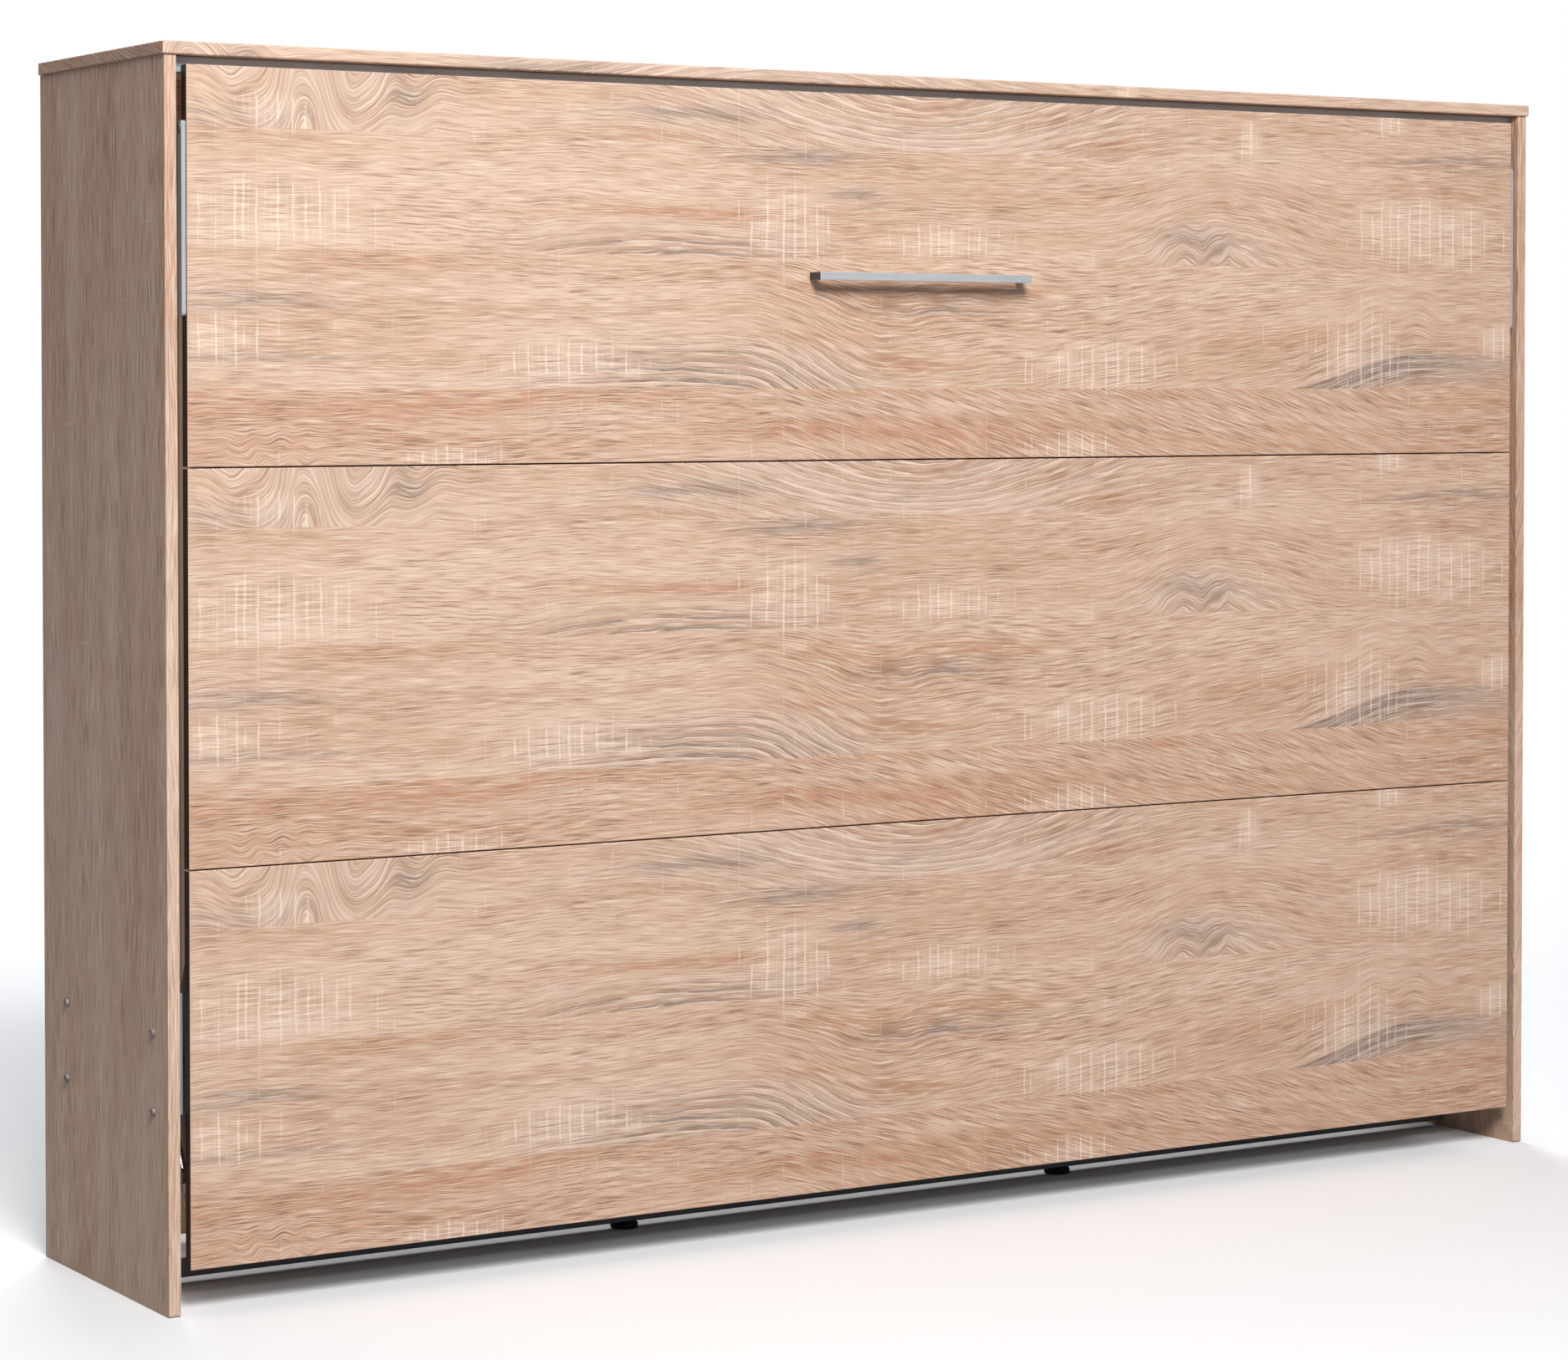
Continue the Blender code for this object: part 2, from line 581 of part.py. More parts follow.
def mattress_ledge(bed):
    """A bent sheet along the bottom tube that keeps the mattress from sliding down."""
    y0, sheet = FRONT + FRAME_REAR + TOUCH, LEDGE_SHEET
    z0, z1 = FRAME_BOTTOM, MATTRESS_BOTTOM - 0.0005
    outline = [(y0, z0), (y0 + sheet, z0), (y0 + sheet, z1 - sheet), (y0 + LEDGE_REACH, z1 - sheet)]
    outline += [(y0 + LEDGE_REACH, z1), (y0, z1)]
    ledge = extruded("mattress_ledge", outline, [], MATTRESS_LENGTH, "frame_lacquer")
    place(ledge, (0.0, 0.0, 0.0), ALONG_X, bed)


def mattress(bed):
    low = (-MATTRESS_LENGTH / 2, FRONT + MATTRESS_FRONT, MATTRESS_BOTTOM)
    high = (MATTRESS_LENGTH / 2, FRONT + MATTRESS_REAR, MATTRESS_TOP)
    block("mattress", low, high, "ticking", edge=0.020, segments=3, parent=bed)


def mattress_straps(bed):
    """Two webbing straps over the mattress, from the top tube to the edge of the ledge."""
    thick, gap = STRAP_THICKNESS, 0.001
    y_tube = FRONT + FRAME_REAR + TOUCH
    y_rear = FRONT + MATTRESS_REAR + gap
    z_head = MATTRESS_TOP + gap
    z_foot = MATTRESS_BOTTOM - gap - thick
    y_ledge = FRONT + FRAME_REAR + LEDGE_REACH + 0.001
    outline = [
        (y_tube, z_head + STRAP_TAIL),
        (y_tube, z_head),
        (y_rear, z_head),
        (y_rear, z_foot + thick),
        (y_ledge, z_foot + thick),
        (y_ledge, z_foot),
        (y_rear + thick, z_foot),
        (y_rear + thick, z_head + thick),
        (y_tube + thick, z_head + thick),
        (y_tube + thick, z_head + STRAP_TAIL),
    ]
    for name, side in SIDES:
        strap = extruded(f"mattress_strap_{name}", outline, [], STRAP_WIDTH, "webbing")
        place(strap, (side * STRAP_OFFSET, 0.0, 0.0), ALONG_X, bed)


def hinge_arm(name, side, bed):
    """The arm plate on the frame's side tube, bored for the hinge pin, with the strut's stud."""
    y_hinge, z_hinge = FRONT + PIVOT_DEPTH, PIVOT_HEIGHT
    y_stud, z_stud = y_hinge + STRUT_ARM[0], z_hinge + STRUT_ARM[1]
    edge, reach, boss, below_stud, beside_stud = 0.002, 0.150, 0.026, 0.022, 0.016
    y0 = FRONT + FRAME_FRONT + edge
    corners = [(y0, z_hinge + reach), (y0, z_stud - below_stud)]
    corners += [(y_stud + beside_stud, z_stud - below_stud), (y_hinge + boss, z_hinge - 0.030)]
    corners += [(y_hinge + boss, z_hinge + boss), (FRONT + FRAME_REAR - edge, z_hinge + reach)]
    outline = rounded(corners, 0.006, 3)
    holes = [circle((y_hinge, z_hinge), PIVOT_RADIUS + RUNNING, 32)]
    obj = extruded(f"hinge_arm_{name}", outline, holes, ARM_PLATE, "grey_lacquer")
    x = inset_x(side, ARM_INSET + ARM_PLATE / 2)
    arm = as_mesh(place(obj, (x, 0.0, 0.0), ALONG_X))
    chamfer, buried = 0.0015, ARM_INSET + ARM_PLATE / 2
    profile = [(0.0, STUD_TIP), (STUD_COLLAR - chamfer, STUD_TIP)]
    profile += [(STUD_COLLAR, STUD_TIP + chamfer), (STUD_COLLAR, buried), (0.0, buried)]
    stud = turned(f"hinge_arm_{name}_stud", profile, None)
    place(stud, (inset_x(side, 0.0), y_stud, z_stud), inwards(side))
    combine(arm, stud, "UNION")
    place(arm, arm.location, arm.rotation_euler, bed)


def bed_leg(name, side, bed):
    """A flat steel leg that hangs from a shoulder screw in the end of the upper front board."""
    y, z, half = FRONT + LEG_PIVOT_DEPTH, LEG_PIVOT_HEIGHT, LEG_WIDTH / 2
    corners = [(-half, -LEG_LENGTH), (half, -LEG_LENGTH), (half, LEG_END), (-half, LEG_END)]
    outline = rounded(corners, [0.005, 0.005, 0.003, 0.003])
    shoulder, head, head_radius = LEG_SCREW_RADIUS + 0.0005, 0.0022, 0.0055
    chamfer, point = 0.0008, 0.003
    holes = [circle((0.0, 0.0), shoulder + RUNNING)]
    leg_axis = axis_empty(f"leg_axis_{name}", (inset_x(side, 0.0), y, z))
    leg = extruded(f"leg_{name}", outline, holes, LEG_THICKNESS, "silver_metal")
    place(leg, (inset_x(side, LEG_INSET + LEG_THICKNESS / 2), y, z), ALONG_X, leg_axis)
    place(leg_axis, leg_axis.location, parent=bed)
    under = LEG_INSET - TOUCH
    board_end = PANEL_GAP - TOUCH
    tip = PANEL_GAP + LEG_SCREW_LENGTH
    profile = [(0.0, under - head), (head_radius - chamfer, under - head)]
    profile += [(head_radius, under - head + chamfer), (head_radius, under), (shoulder, under)]
    profile += [(shoulder, board_end), (LEG_SCREW_RADIUS, board_end)]
    profile += [(LEG_SCREW_RADIUS, tip - point), (0.0, tip)]
    screw = turned(f"leg_screw_{name}", profile, "zinc_steel")
    place(screw, (inset_x(side, 0.0), y, z), inwards(side), bed)


# ---- gas struts ---------------------------------------------------------------------------------


def strut_line():
    """Length of the strut with the bed folded away, and its lean from the vertical about X."""
    foot = Vector((PIVOT_DEPTH + STRUT_ARM[0], PIVOT_HEIGHT + STRUT_ARM[1]))
    run = Vector(STRUT_TOP) - foot
    return run.length, -math.atan2(run.x, run.y)


def eye(name, radius, bore):
    """A flat ring, made to be joined to the end of a rod or a cylinder."""
    ring = extruded(name, circle((0.0, 0.0), radius), [circle((0.0, 0.0), bore)], STRUT_EYE, None)
    return as_mesh(ring)


def gas_strut(name, side):
    """A cylinder that hangs from its bracket, and the rod that slides in it."""
    length, lean = strut_line()
    bore, closed_end, lip = ROD_RADIUS + 0.0005, 0.024, 0.001
    neck, neck_top, neck_end, dome_end = 0.0055, 0.0075, 0.014, 0.016
    mouth = -CYLINDER_LENGTH
    top = (inset_x(side, STRUT_INSET), FRONT + STRUT_TOP[0], STRUT_TOP[1])
    axis = axis_empty(f"strut_axis_{name}", top)
    axis.rotation_euler = (lean, 0.0, 0.0)
    profile = [(0.0, -neck_top), (neck, -neck_top), (neck, -neck_end)]
    profile += [(CYLINDER_RADIUS, -dome_end), (CYLINDER_RADIUS, mouth + lip)]
    profile += [(CYLINDER_RADIUS - lip, mouth)]
    profile += [(bore, mouth), (bore, -closed_end), (0.0, -closed_end)]
    cylinder = turned(f"gas_cylinder_{name}", profile, "black_steel")
    cylinder.parent = axis
    ring = eye(f"gas_cylinder_{name}_eye", 0.011, STRUT_STUD_RADIUS + RUNNING)
    ring.parent = axis
    ring.rotation_euler = ALONG_X
    combine(cylinder, ring, "UNION")
    rod_top = length - CYLINDER_LENGTH + ROD_ENGAGED
    profile = [(0.0, neck_top), (ROD_RADIUS, neck_top), (ROD_RADIUS, rod_top), (0.0, rod_top)]
    rod = turned(f"gas_rod_{name}", profile, "silver_metal")
    rod.parent = axis
    rod.location = (0.0, 0.0, -length)
    ring = eye(f"gas_rod_{name}_eye", 0.010, STRUT_STUD_RADIUS + RUNNING)
    ring.parent = axis
    ring.location = rod.location
    ring.rotation_euler = ALONG_X
    combine(rod, ring, "UNION")


# ---- assembly -----------------------------------------------------------------------------------


def main():
    for obj in list(bpy.data.objects):
        bpy.data.objects.remove(obj)
    bed = axis_empty("bed_axis", (0.0, FRONT + PIVOT_DEPTH, PIVOT_HEIGHT))
    top_board()
    cross_rails()
    rail_feet()
    rear_traverses()
    front_boards(bed)
    pull_handle(bed)
    bed_frame(bed)
    slats(bed)
    mattress_ledge(bed)
    mattress(bed)
    mattress_straps(bed)
    for name, side in SIDES:
        side_panel(name, side)
        mechanism_plate(name, side)
        mechanism_bolts(name, side)
        pivot_pin(name, side)
        strut_bracket(name, side)
        hinge_arm(name, side, bed)
        bed_leg(name, side, bed)
        gas_strut(name, side)


main()
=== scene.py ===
import math

import bmesh
import bpy
from mathutils import Matrix, Vector


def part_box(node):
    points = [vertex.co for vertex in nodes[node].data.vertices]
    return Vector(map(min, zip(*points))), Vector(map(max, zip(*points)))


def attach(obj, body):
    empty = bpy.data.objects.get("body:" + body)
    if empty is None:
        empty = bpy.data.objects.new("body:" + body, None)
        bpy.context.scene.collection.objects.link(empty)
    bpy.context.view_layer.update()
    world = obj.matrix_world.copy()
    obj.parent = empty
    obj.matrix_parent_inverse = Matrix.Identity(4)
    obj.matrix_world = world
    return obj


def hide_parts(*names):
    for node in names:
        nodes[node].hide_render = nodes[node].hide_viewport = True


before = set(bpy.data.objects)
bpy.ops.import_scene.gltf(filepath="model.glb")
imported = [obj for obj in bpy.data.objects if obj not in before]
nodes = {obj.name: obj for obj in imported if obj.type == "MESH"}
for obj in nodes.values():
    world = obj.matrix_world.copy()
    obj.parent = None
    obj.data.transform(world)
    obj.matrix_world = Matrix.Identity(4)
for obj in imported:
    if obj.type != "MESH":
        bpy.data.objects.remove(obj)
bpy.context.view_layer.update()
scene = bpy.context.scene
scene.view_settings.view_transform = "Standard"


# ---- studio ---------------------------------------------------------------------------------------
# A pale sweep, one large soft light in front and above on the left, and a weak fill from behind.
# The room is white to look at and adds only a little light, so that the side stays in half shade.

def linear(red, green, blue):
    """A colour given in 0-255 display values, as the linear RGBA that a shader takes."""
    shares = [c / 255 for c in (red, green, blue)]
    return tuple(c / 12.92 if c < 0.04045 else ((c + 0.055) / 1.055) ** 2.4 for c in shares) + (1.0,)


ROOM_LIGHT = 0.25
room = bpy.data.worlds.new("white_room")
scene.world = room
room.use_nodes = True
background = room.node_tree.nodes["Background"]
seen = room.node_tree.nodes.new("ShaderNodeLightPath")
room_level = room.node_tree.nodes.new("ShaderNodeMapRange")
room_level.inputs["To Min"].default_value = ROOM_LIGHT
room.node_tree.links.new(seen.outputs["Is Camera Ray"], room_level.inputs["Value"])
room.node_tree.links.new(room_level.outputs[0], background.inputs["Strength"])
room_tint = room.node_tree.nodes.new("ShaderNodeMix")
room_tint.data_type = "RGBA"
room_tint.inputs[6].default_value = linear(232, 243, 255)
room_tint.inputs[7].default_value = (1.0, 1.0, 1.0, 1.0)
room.node_tree.links.new(seen.outputs["Is Camera Ray"], room_tint.inputs[0])
room.node_tree.links.new(room_tint.outputs[2], background.inputs["Color"])


def softbox(name, place, target, size, watts):
    """A square area light that points at the target."""
    data = bpy.data.lights.new(name, "AREA")
    data.size, data.energy = size, watts
    lamp = bpy.data.objects.new(name, data)
    scene.collection.objects.link(lamp)
    lamp.location = place
    lamp.rotation_euler = (Vector(target) - Vector(place)).to_track_quat("-Z", "Y").to_euler()


softbox("key_light", (-1.9, -5.2, 4.9), (0.0, 0.0, 0.95), 2.3, 465)
softbox("back_light", (2.0, 5.6, 4.2), (0.0, 0.0, 0.7), 4.0, 300)

FLOOR_REACH = 8.0
FLOOR_BOUNCE = 0.30
FADE_START = 2.0
FADE_END = 4.2
floor_data = bpy.data.meshes.new("studio_floor")
floor_data.from_pydata(
    [(x * FLOOR_REACH, y * FLOOR_REACH, 0.0) for x, y in ((-1, -1), (1, -1), (1, 1), (-1, 1))],
    [],
    [(0, 1, 2, 3)],
)
studio_floor = bpy.data.objects.new("studio_floor", floor_data)
scene.collection.objects.link(studio_floor)
floor_paint = bpy.data.materials.new("pale_floor")
floor_paint.use_nodes = True
floor_shader = floor_paint.node_tree.nodes["Principled BSDF"]
floor_paint_links = floor_paint.node_tree.links
floor_seen = floor_paint.node_tree.nodes.new("ShaderNodeLightPath")
floor_tone = floor_paint.node_tree.nodes.new("ShaderNodeMapRange")
floor_tone.inputs["To Min"].default_value = FLOOR_BOUNCE
floor_tone.inputs["To Max"].default_value = 1.0
floor_paint_links.new(floor_seen.outputs["Is Camera Ray"], floor_tone.inputs["Value"])
floor_paint_links.new(floor_tone.outputs[0], floor_shader.inputs["Base Color"])
floor_shader.inputs["Roughness"].default_value = 0.85
floor_spots = floor_paint.node_tree.nodes.new("ShaderNodeTexCoord")
floor_far = floor_paint.node_tree.nodes.new("ShaderNodeVectorMath")
floor_far.operation = "LENGTH"
floor_fade = floor_paint.node_tree.nodes.new("ShaderNodeMapRange")
floor_fade.interpolation_type = "SMOOTHSTEP"
for socket, value in (("From Min", FADE_START), ("From Max", FADE_END), ("To Min", 1.0), ("To Max", 0.0)):
    floor_fade.inputs[socket].default_value = value
floor_paint_links.new(floor_spots.outputs["Object"], floor_far.inputs[0])
floor_paint_links.new(floor_far.outputs["Value"], floor_fade.inputs["Value"])
floor_paint_links.new(floor_fade.outputs[0], floor_shader.inputs["Alpha"])
floor_data.materials.append(floor_paint)

CAMERA_DIP = 1.541
CAMERA_TURN = 31.58
camera = bpy.data.objects.new("camera", bpy.data.cameras.new("camera"))
scene.collection.objects.link(camera)
scene.camera = camera
camera.location = (-3.032, -4.7785, 1.154)
camera.rotation_euler = (math.radians(90 - CAMERA_DIP), 0.0, math.radians(-CAMERA_TURN))
camera.data.sensor_fit = "HORIZONTAL"
camera.data.sensor_width = 36.0
camera.data.lens = 91.9
camera.data.shift_y = -0.12


# ---- cabinet boards ---------------------------------------------------------------------------------
# Two side panels, a top board and two rear traverses of 16 mm particle board, faced and edged with one
# printed oak decor. The print shows four planks glued side by side, rough-sawn, with pale saw marks.

class Field:
    """An output of a material's node tree. Arithmetic on it adds Math nodes to that tree."""

    def __init__(self, tree, socket):
        self.tree = tree
        self.socket = socket

    def node(self, kind, settings=None, inputs=None, output=0):
        """A new node: its settings first, then the values or links of its sockets."""
        made = self.tree.nodes.new(kind)
        for key, value in (settings or {}).items():
            setattr(made, key, value)
        for key, value in (inputs or {}).items():
            if isinstance(value, Field):
                self.tree.links.new(value.socket, made.inputs[key])
            else:
                made.inputs[key].default_value = value
        return Field(self.tree, made.outputs[output])

    def math(self, operation, *others):
        """A Math node whose first value is this one."""
        return self.node("ShaderNodeMath", {"operation": operation}, dict(enumerate((self, *others))))

    def __add__(self, other):
        return self.math("ADD", other)

    def __sub__(self, other):
        return self.math("SUBTRACT", other)

    def __rsub__(self, other):
        return self.node("ShaderNodeMath", {"operation": "SUBTRACT"}, {0: other, 1: self})

    def __mul__(self, other):
        return self.math("MULTIPLY", other)

    def __truediv__(self, other):
        return self.math("DIVIDE", other)

    def __mod__(self, other):
        return self.math("FLOORED_MODULO", other)

    def __lt__(self, other):
        return self.math("LESS_THAN", other)

    def __gt__(self, other):
        return self.math("GREATER_THAN", other)

    def __abs__(self):
        return self.math("ABSOLUTE")

    __radd__ = __add__
    __rmul__ = __mul__

    def most(self, other):
        return self.math("MAXIMUM", other)

    def rise(self, low, high, start=0.0, end=1.0):
        """Goes smoothly from start, at low, to end, at high, and stays there."""
        sockets = {"Value": self, "From Min": low, "From Max": high, "To Min": start, "To Max": end}
        return self.node("ShaderNodeMapRange", {"interpolation_type": "SMOOTHSTEP"}, sockets)

    def paint(self, below, above):
        """A colour: below where this is 0, above where it is 1."""
        settings = {"data_type": "RGBA", "clamp_factor": True}
        return self.node("ShaderNodeMix", settings, {0: self, 6: below, 7: above}, output=2)

    def mixed(self, zero, one):
        """A number: zero where this is 0, one where it is 1."""
        return self.node("ShaderNodeMix", None, {0: self, 2: zero, 3: one})

    def times(self, scale, shift=(0.0, 0.0, 0.0)):
        """A vector scaled along each axis, then moved."""
        sockets = {0: self, 1: scale, 2: shift}
        return self.node("ShaderNodeVectorMath", {"operation": "MULTIPLY_ADD"}, sockets)

    def noise(self, scale, detail=2.0, roughness=0.5):
        """Cloud noise at this place. A larger scale along one axis squeezes it along that axis."""
        sockets = {"Vector": self.times(scale), "Scale": 1.0, "Detail": detail, "Roughness": roughness}
        return self.node("ShaderNodeTexNoise", None, sockets)

    def oval(self, centre, reach):
        """1 at the centre of an oval and 0 from its rim outwards."""
        scale = (1 / reach[0], 1 / reach[1], 0.0)
        shift = (-centre[0] / reach[0], -centre[1] / reach[1], 0.0)
        sockets = {0: self.times(scale, shift)}
        far = self.node("ShaderNodeVectorMath", {"operation": "LENGTH"}, sockets, output=1)
        return far.rise(1.0, 0.0)

    def joined(self, across):
        """A flat place, with this as its first distance."""
        return self.node("ShaderNodeCombineXYZ", None, {0: self, 1: across})

    def split(self):
        """The three parts of a vector."""
        apart = self.node("ShaderNodeSeparateXYZ", None, {0: self})
        return [Field(self.tree, socket) for socket in apart.socket.node.outputs]


def finish(name, roughness=0.5, metallic=0.0, constants=()):
    """A new material. Gives it, its shader, and the Object coordinates that its pattern is drawn on."""
    material = bpy.data.materials.new(name)
    material.use_nodes = True
    tree = material.node_tree
    shader = tree.nodes["Principled BSDF"]
    shader.inputs["Roughness"].default_value = roughness
    shader.inputs["Metallic"].default_value = metallic
    for socket, value in constants:
        shader.inputs[socket].default_value = value
    spots = tree.nodes.new("ShaderNodeTexCoord")
    return material, shader, Field(tree, spots.outputs["Object"])


def facing(spots):
    """How far the surface faces along each axis, from -1 to 1."""
    return spots.node("ShaderNodeTexCoord", output=1).split()


def feed(shader, socket, field):
    """Links a field to one of the shader's own sockets."""
    field.tree.links.new(field.socket, shader.inputs[socket])


def raise_grain(shader, height, depth, strength=1.0):
    """Bumps the surface by a height field, whose full range stands for that depth in metres."""
    sockets = {"Height": height, "Distance": depth, "Strength": strength}
    feed(shader, "Normal", height.node("ShaderNodeBump", None, sockets))


PLANK_SEAMS = (0.075, 0.224, 0.400)
PALE_OAK = linear(231, 197, 173)
TAN_OAK = linear(212, 171, 142)
RED_OAK = linear(205, 152, 120)
GREY_OAK = linear(152, 132, 120)
DARK_FIBRE = linear(138, 102, 82)
LIGHT_FIBRE = linear(250, 226, 206)
# Painted shade: a dark brown for the end faces of the front boards, standing for the shade in the gaps beside
# them.
END_PAINTED_SHADE = linear(74, 60, 52)
# Where the rough-sawn planks keep saw marks: centre along and across the grain, and how far they reach.
SAW_MARKS = (
    ((0.110, 0.180), (0.230, 0.072)), ((0.870, 0.185), (0.110, 0.080)), ((1.985, 0.170), (0.240, 0.080)),
    ((0.045, 0.335), (0.085, 0.052)), ((0.530, 0.362), (0.160, 0.045)), ((1.390, 0.370), (0.200, 0.055)),
    ((1.860, 0.345), (0.140, 0.085)), ((2.130, 0.330), (0.075, 0.045)), ((1.655, 0.040), (0.035, 0.055)),
    ((0.120, 0.052), (0.090, 0.038)), ((1.340, 0.482), (0.120, 0.034)), ((1.120, 0.200), (0.150, 0.035)),
    ((1.915, 0.008), (0.050, 0.030)), ((0.370, 0.490), (0.120, 0.030)),
)
# Cloudy grey and reddish stretches of the planks, in the same way.
GREY_CLOUDS = (
    ((1.120, 0.290), (0.220, 0.028)), ((0.985, 0.140), (0.090, 0.022)), ((0.070, 0.290), (0.200, 0.024)),
    ((0.720, 0.035), (0.240, 0.022)), ((0.880, 0.088), (0.200, 0.020)), ((2.060, 0.065), (0.260, 0.022)),
    ((1.560, 0.190), (0.120, 0.040)), ((0.060, 0.062), (0.160, 0.018)), ((0.300, 0.020), (0.070, 0.050)),
    ((0.080, 0.360), (0.260, 0.009)),
)
RED_CLOUDS = (
    ((1.650, 0.318), (0.380, 0.036)), ((1.960, 0.105), (0.300, 0.024)), ((1.060, 0.365), (0.160, 0.022)),
    ((1.080, 0.020), (0.260, 0.030)), ((0.650, 0.168), (0.320, 0.018)), ((0.060, 0.425), (0.260, 0.040)),
    ((1.430, 0.062), (0.180, 0.030)), ((1.380, 0.425), (0.420, 0.030)), ((0.850, 0.330), (0.240, 0.014)),
)


def clouds(flat, ovals):
    """The highest of several soft ovals."""
    highest = flat.oval(*ovals[0])
    for centre, reach in ovals[1:]:
        highest = highest.most(flat.oval(centre, reach))
    return highest


def oak_decor(shader, along, across, paler):
    """Paints the printed oak. Along and across are distances over the print, in metres."""
    flat = along.joined(across)
    in_plank = [across < seam for seam in PLANK_SEAMS]
    plank = 3.0 - in_plank[0] - in_plank[1] - in_plank[2]
    first = in_plank[0]
    second = in_plank[1] - in_plank[0]
    third = in_plank[2] - in_plank[1]
    last = 1.0 - in_plank[2]

    # The growth rings: straight along the grain, but drawn down, lifted or swirled round a few spots.
    drift = flat.noise((2.0, 6.0, 0.0), 1.0) - 0.5
    waver = flat.noise((13.0, 30.0, 0.0), 2.0) - 0.5
    bowl = first * flat.oval((1.08, 0.01), (0.50, 0.20)) * -0.090
    writhe = flat.noise((10.0, 4.0, 0.0), 0.6) - 0.5
    swirl = first * flat.oval((0.19, 0.030), (0.21, 0.14)) * writhe * 0.46
    lens = second * flat.oval((0.66, 0.215), (0.24, 0.060)) * 0.018
    arch = second * flat.oval((1.60, 0.160), (0.24, 0.150)) * 0.042
    curl = flat.noise((20.0, 9.0, 0.0), 1.0) - 0.5
    eddy = second * flat.oval((1.57, 0.200), (0.16, 0.080)) * curl * 0.055
    tongue_end = third * along.rise(0.78, 1.03) * along.rise(2.0, 1.02) * across.rise(0.08, 0.43) * -0.074
    fan = third * along.rise(1.70, 1.97) * 0.052
    knots = flat.oval((1.895, 0.285), (0.07, 0.07)) + flat.oval((1.965, 0.290), (0.05, 0.06))
    eye = third * knots * 0.020
    slope = {"Value": along, "From Min": 0.85, "From Max": 1.95, "To Max": -0.32}
    lean = last * along.node("ShaderNodeMapRange", None, slope)
    roll = flat.noise((20.0, 14.0, 0.0), 1.0) - 0.5
    tumble = last * flat.oval((0.12, 0.49), (0.11, 0.06)) * roll * 0.10
    rings = across + drift * 0.040 + waver * 0.008 + bowl + swirl + lens + arch + eddy + tumble
    rings = rings + tongue_end + fan * across.rise(0.25, 0.40) + eye + plank * 0.61
    fibre_lines = along.joined(rings + lean)
    ring_lines = along.joined(rings)

    # Broad bands, then the grey late wood with its dark lower edge where the rings are cut at a slant.
    band = ring_lines.noise((1.4, 21.0, 0.0), 2.0, 0.45)
    streak = ring_lines.noise((7.0, 190.0, 0.0), 2.0, 0.5)
    tone = (band * 0.80 + streak * 0.20).rise(0.30, 0.66)
    colour = tone.paint(TAN_OAK, PALE_OAK)
    ruddy = flat.noise((1.3, 12.0, 0.0), 1.0).rise(0.50, 0.70) * 0.45
    redness = (last * 0.70).most(clouds(flat, RED_CLOUDS) * 0.9).most(ruddy) * (1.30 - tone)
    redness = redness + along.rise(0.9, 2.3) * 0.22
    colour = redness.paint(colour, RED_OAK)
    ring_phase = (rings * 72.0 + streak * 1.1 + drift) % 1.0
    late_wood = ring_phase.math("POWER", 1.6)
    top_curls = flat.oval((0.21, 0.030), (0.26, 0.14)) * 0.62 + flat.oval((1.12, 0.030), (0.70, 0.16)) * 0.85
    lenses = flat.oval((0.70, 0.215), (0.36, 0.050)) + flat.oval((1.58, 0.200), (0.20, 0.050)) * 0.75
    tongues = flat.oval((0.76, 0.385), (0.42, 0.075)) * 1.2 + flat.oval((1.95, 0.370), (0.26, 0.060)) * 0.7
    slanted = third * tongues + first * top_curls + second * lenses
    wisps = ring_lines.noise((7.0, 95.0, 0.0), 2.0).rise(0.36, 0.58, 0.10, 1.0)
    grey_cloud = clouds(flat, GREY_CLOUDS) * wisps * 0.8
    fan_edge = across + fan - 0.400
    fan_fill = third * fan_edge.rise(0.0, 0.003) * fan_edge.rise(0.062, 0.020) * along.rise(1.69, 1.74)
    fan_fill = fan_fill * along.rise(2.30, 1.92)
    late_grey = late_wood * slanted * (1.0 - first * 0.35)
    grey = late_grey.most(grey_cloud).most(fan_fill * (0.55 + wisps * 0.45))
    colour = grey.paint(colour, GREY_OAK)
    pale_line = ring_phase.rise(0.30, 0.0) * slanted * (0.65 + first * 0.35)
    colour = pale_line.paint(colour, LIGHT_FIBRE)

    # Fibres and pores, short strokes along the grain that lean where the last plank was cut across it.
    fibre = fibre_lines.noise((21.0, 820.0, 0.0), 2.0, 0.55)
    thread = fibre_lines.noise((11.0, 430.0, 0.0), 1.0, 0.5)
    busy = flat.noise((4.0, 18.0, 0.0), 1.0).rise(0.35, 0.65, 0.55, 1.0)
    colour = (fibre.rise(0.48, 0.38) * busy * (0.62 + last * 0.22)).paint(colour, DARK_FIBRE)
    colour = (fibre.rise(0.53, 0.64) * 0.60).paint(colour, LIGHT_FIBRE)
    colour = (thread.rise(0.44, 0.33) * busy * 0.36).paint(colour, DARK_FIBRE)
    colour = (thread.rise(0.56, 0.67) * 0.26).paint(colour, LIGHT_FIBRE)

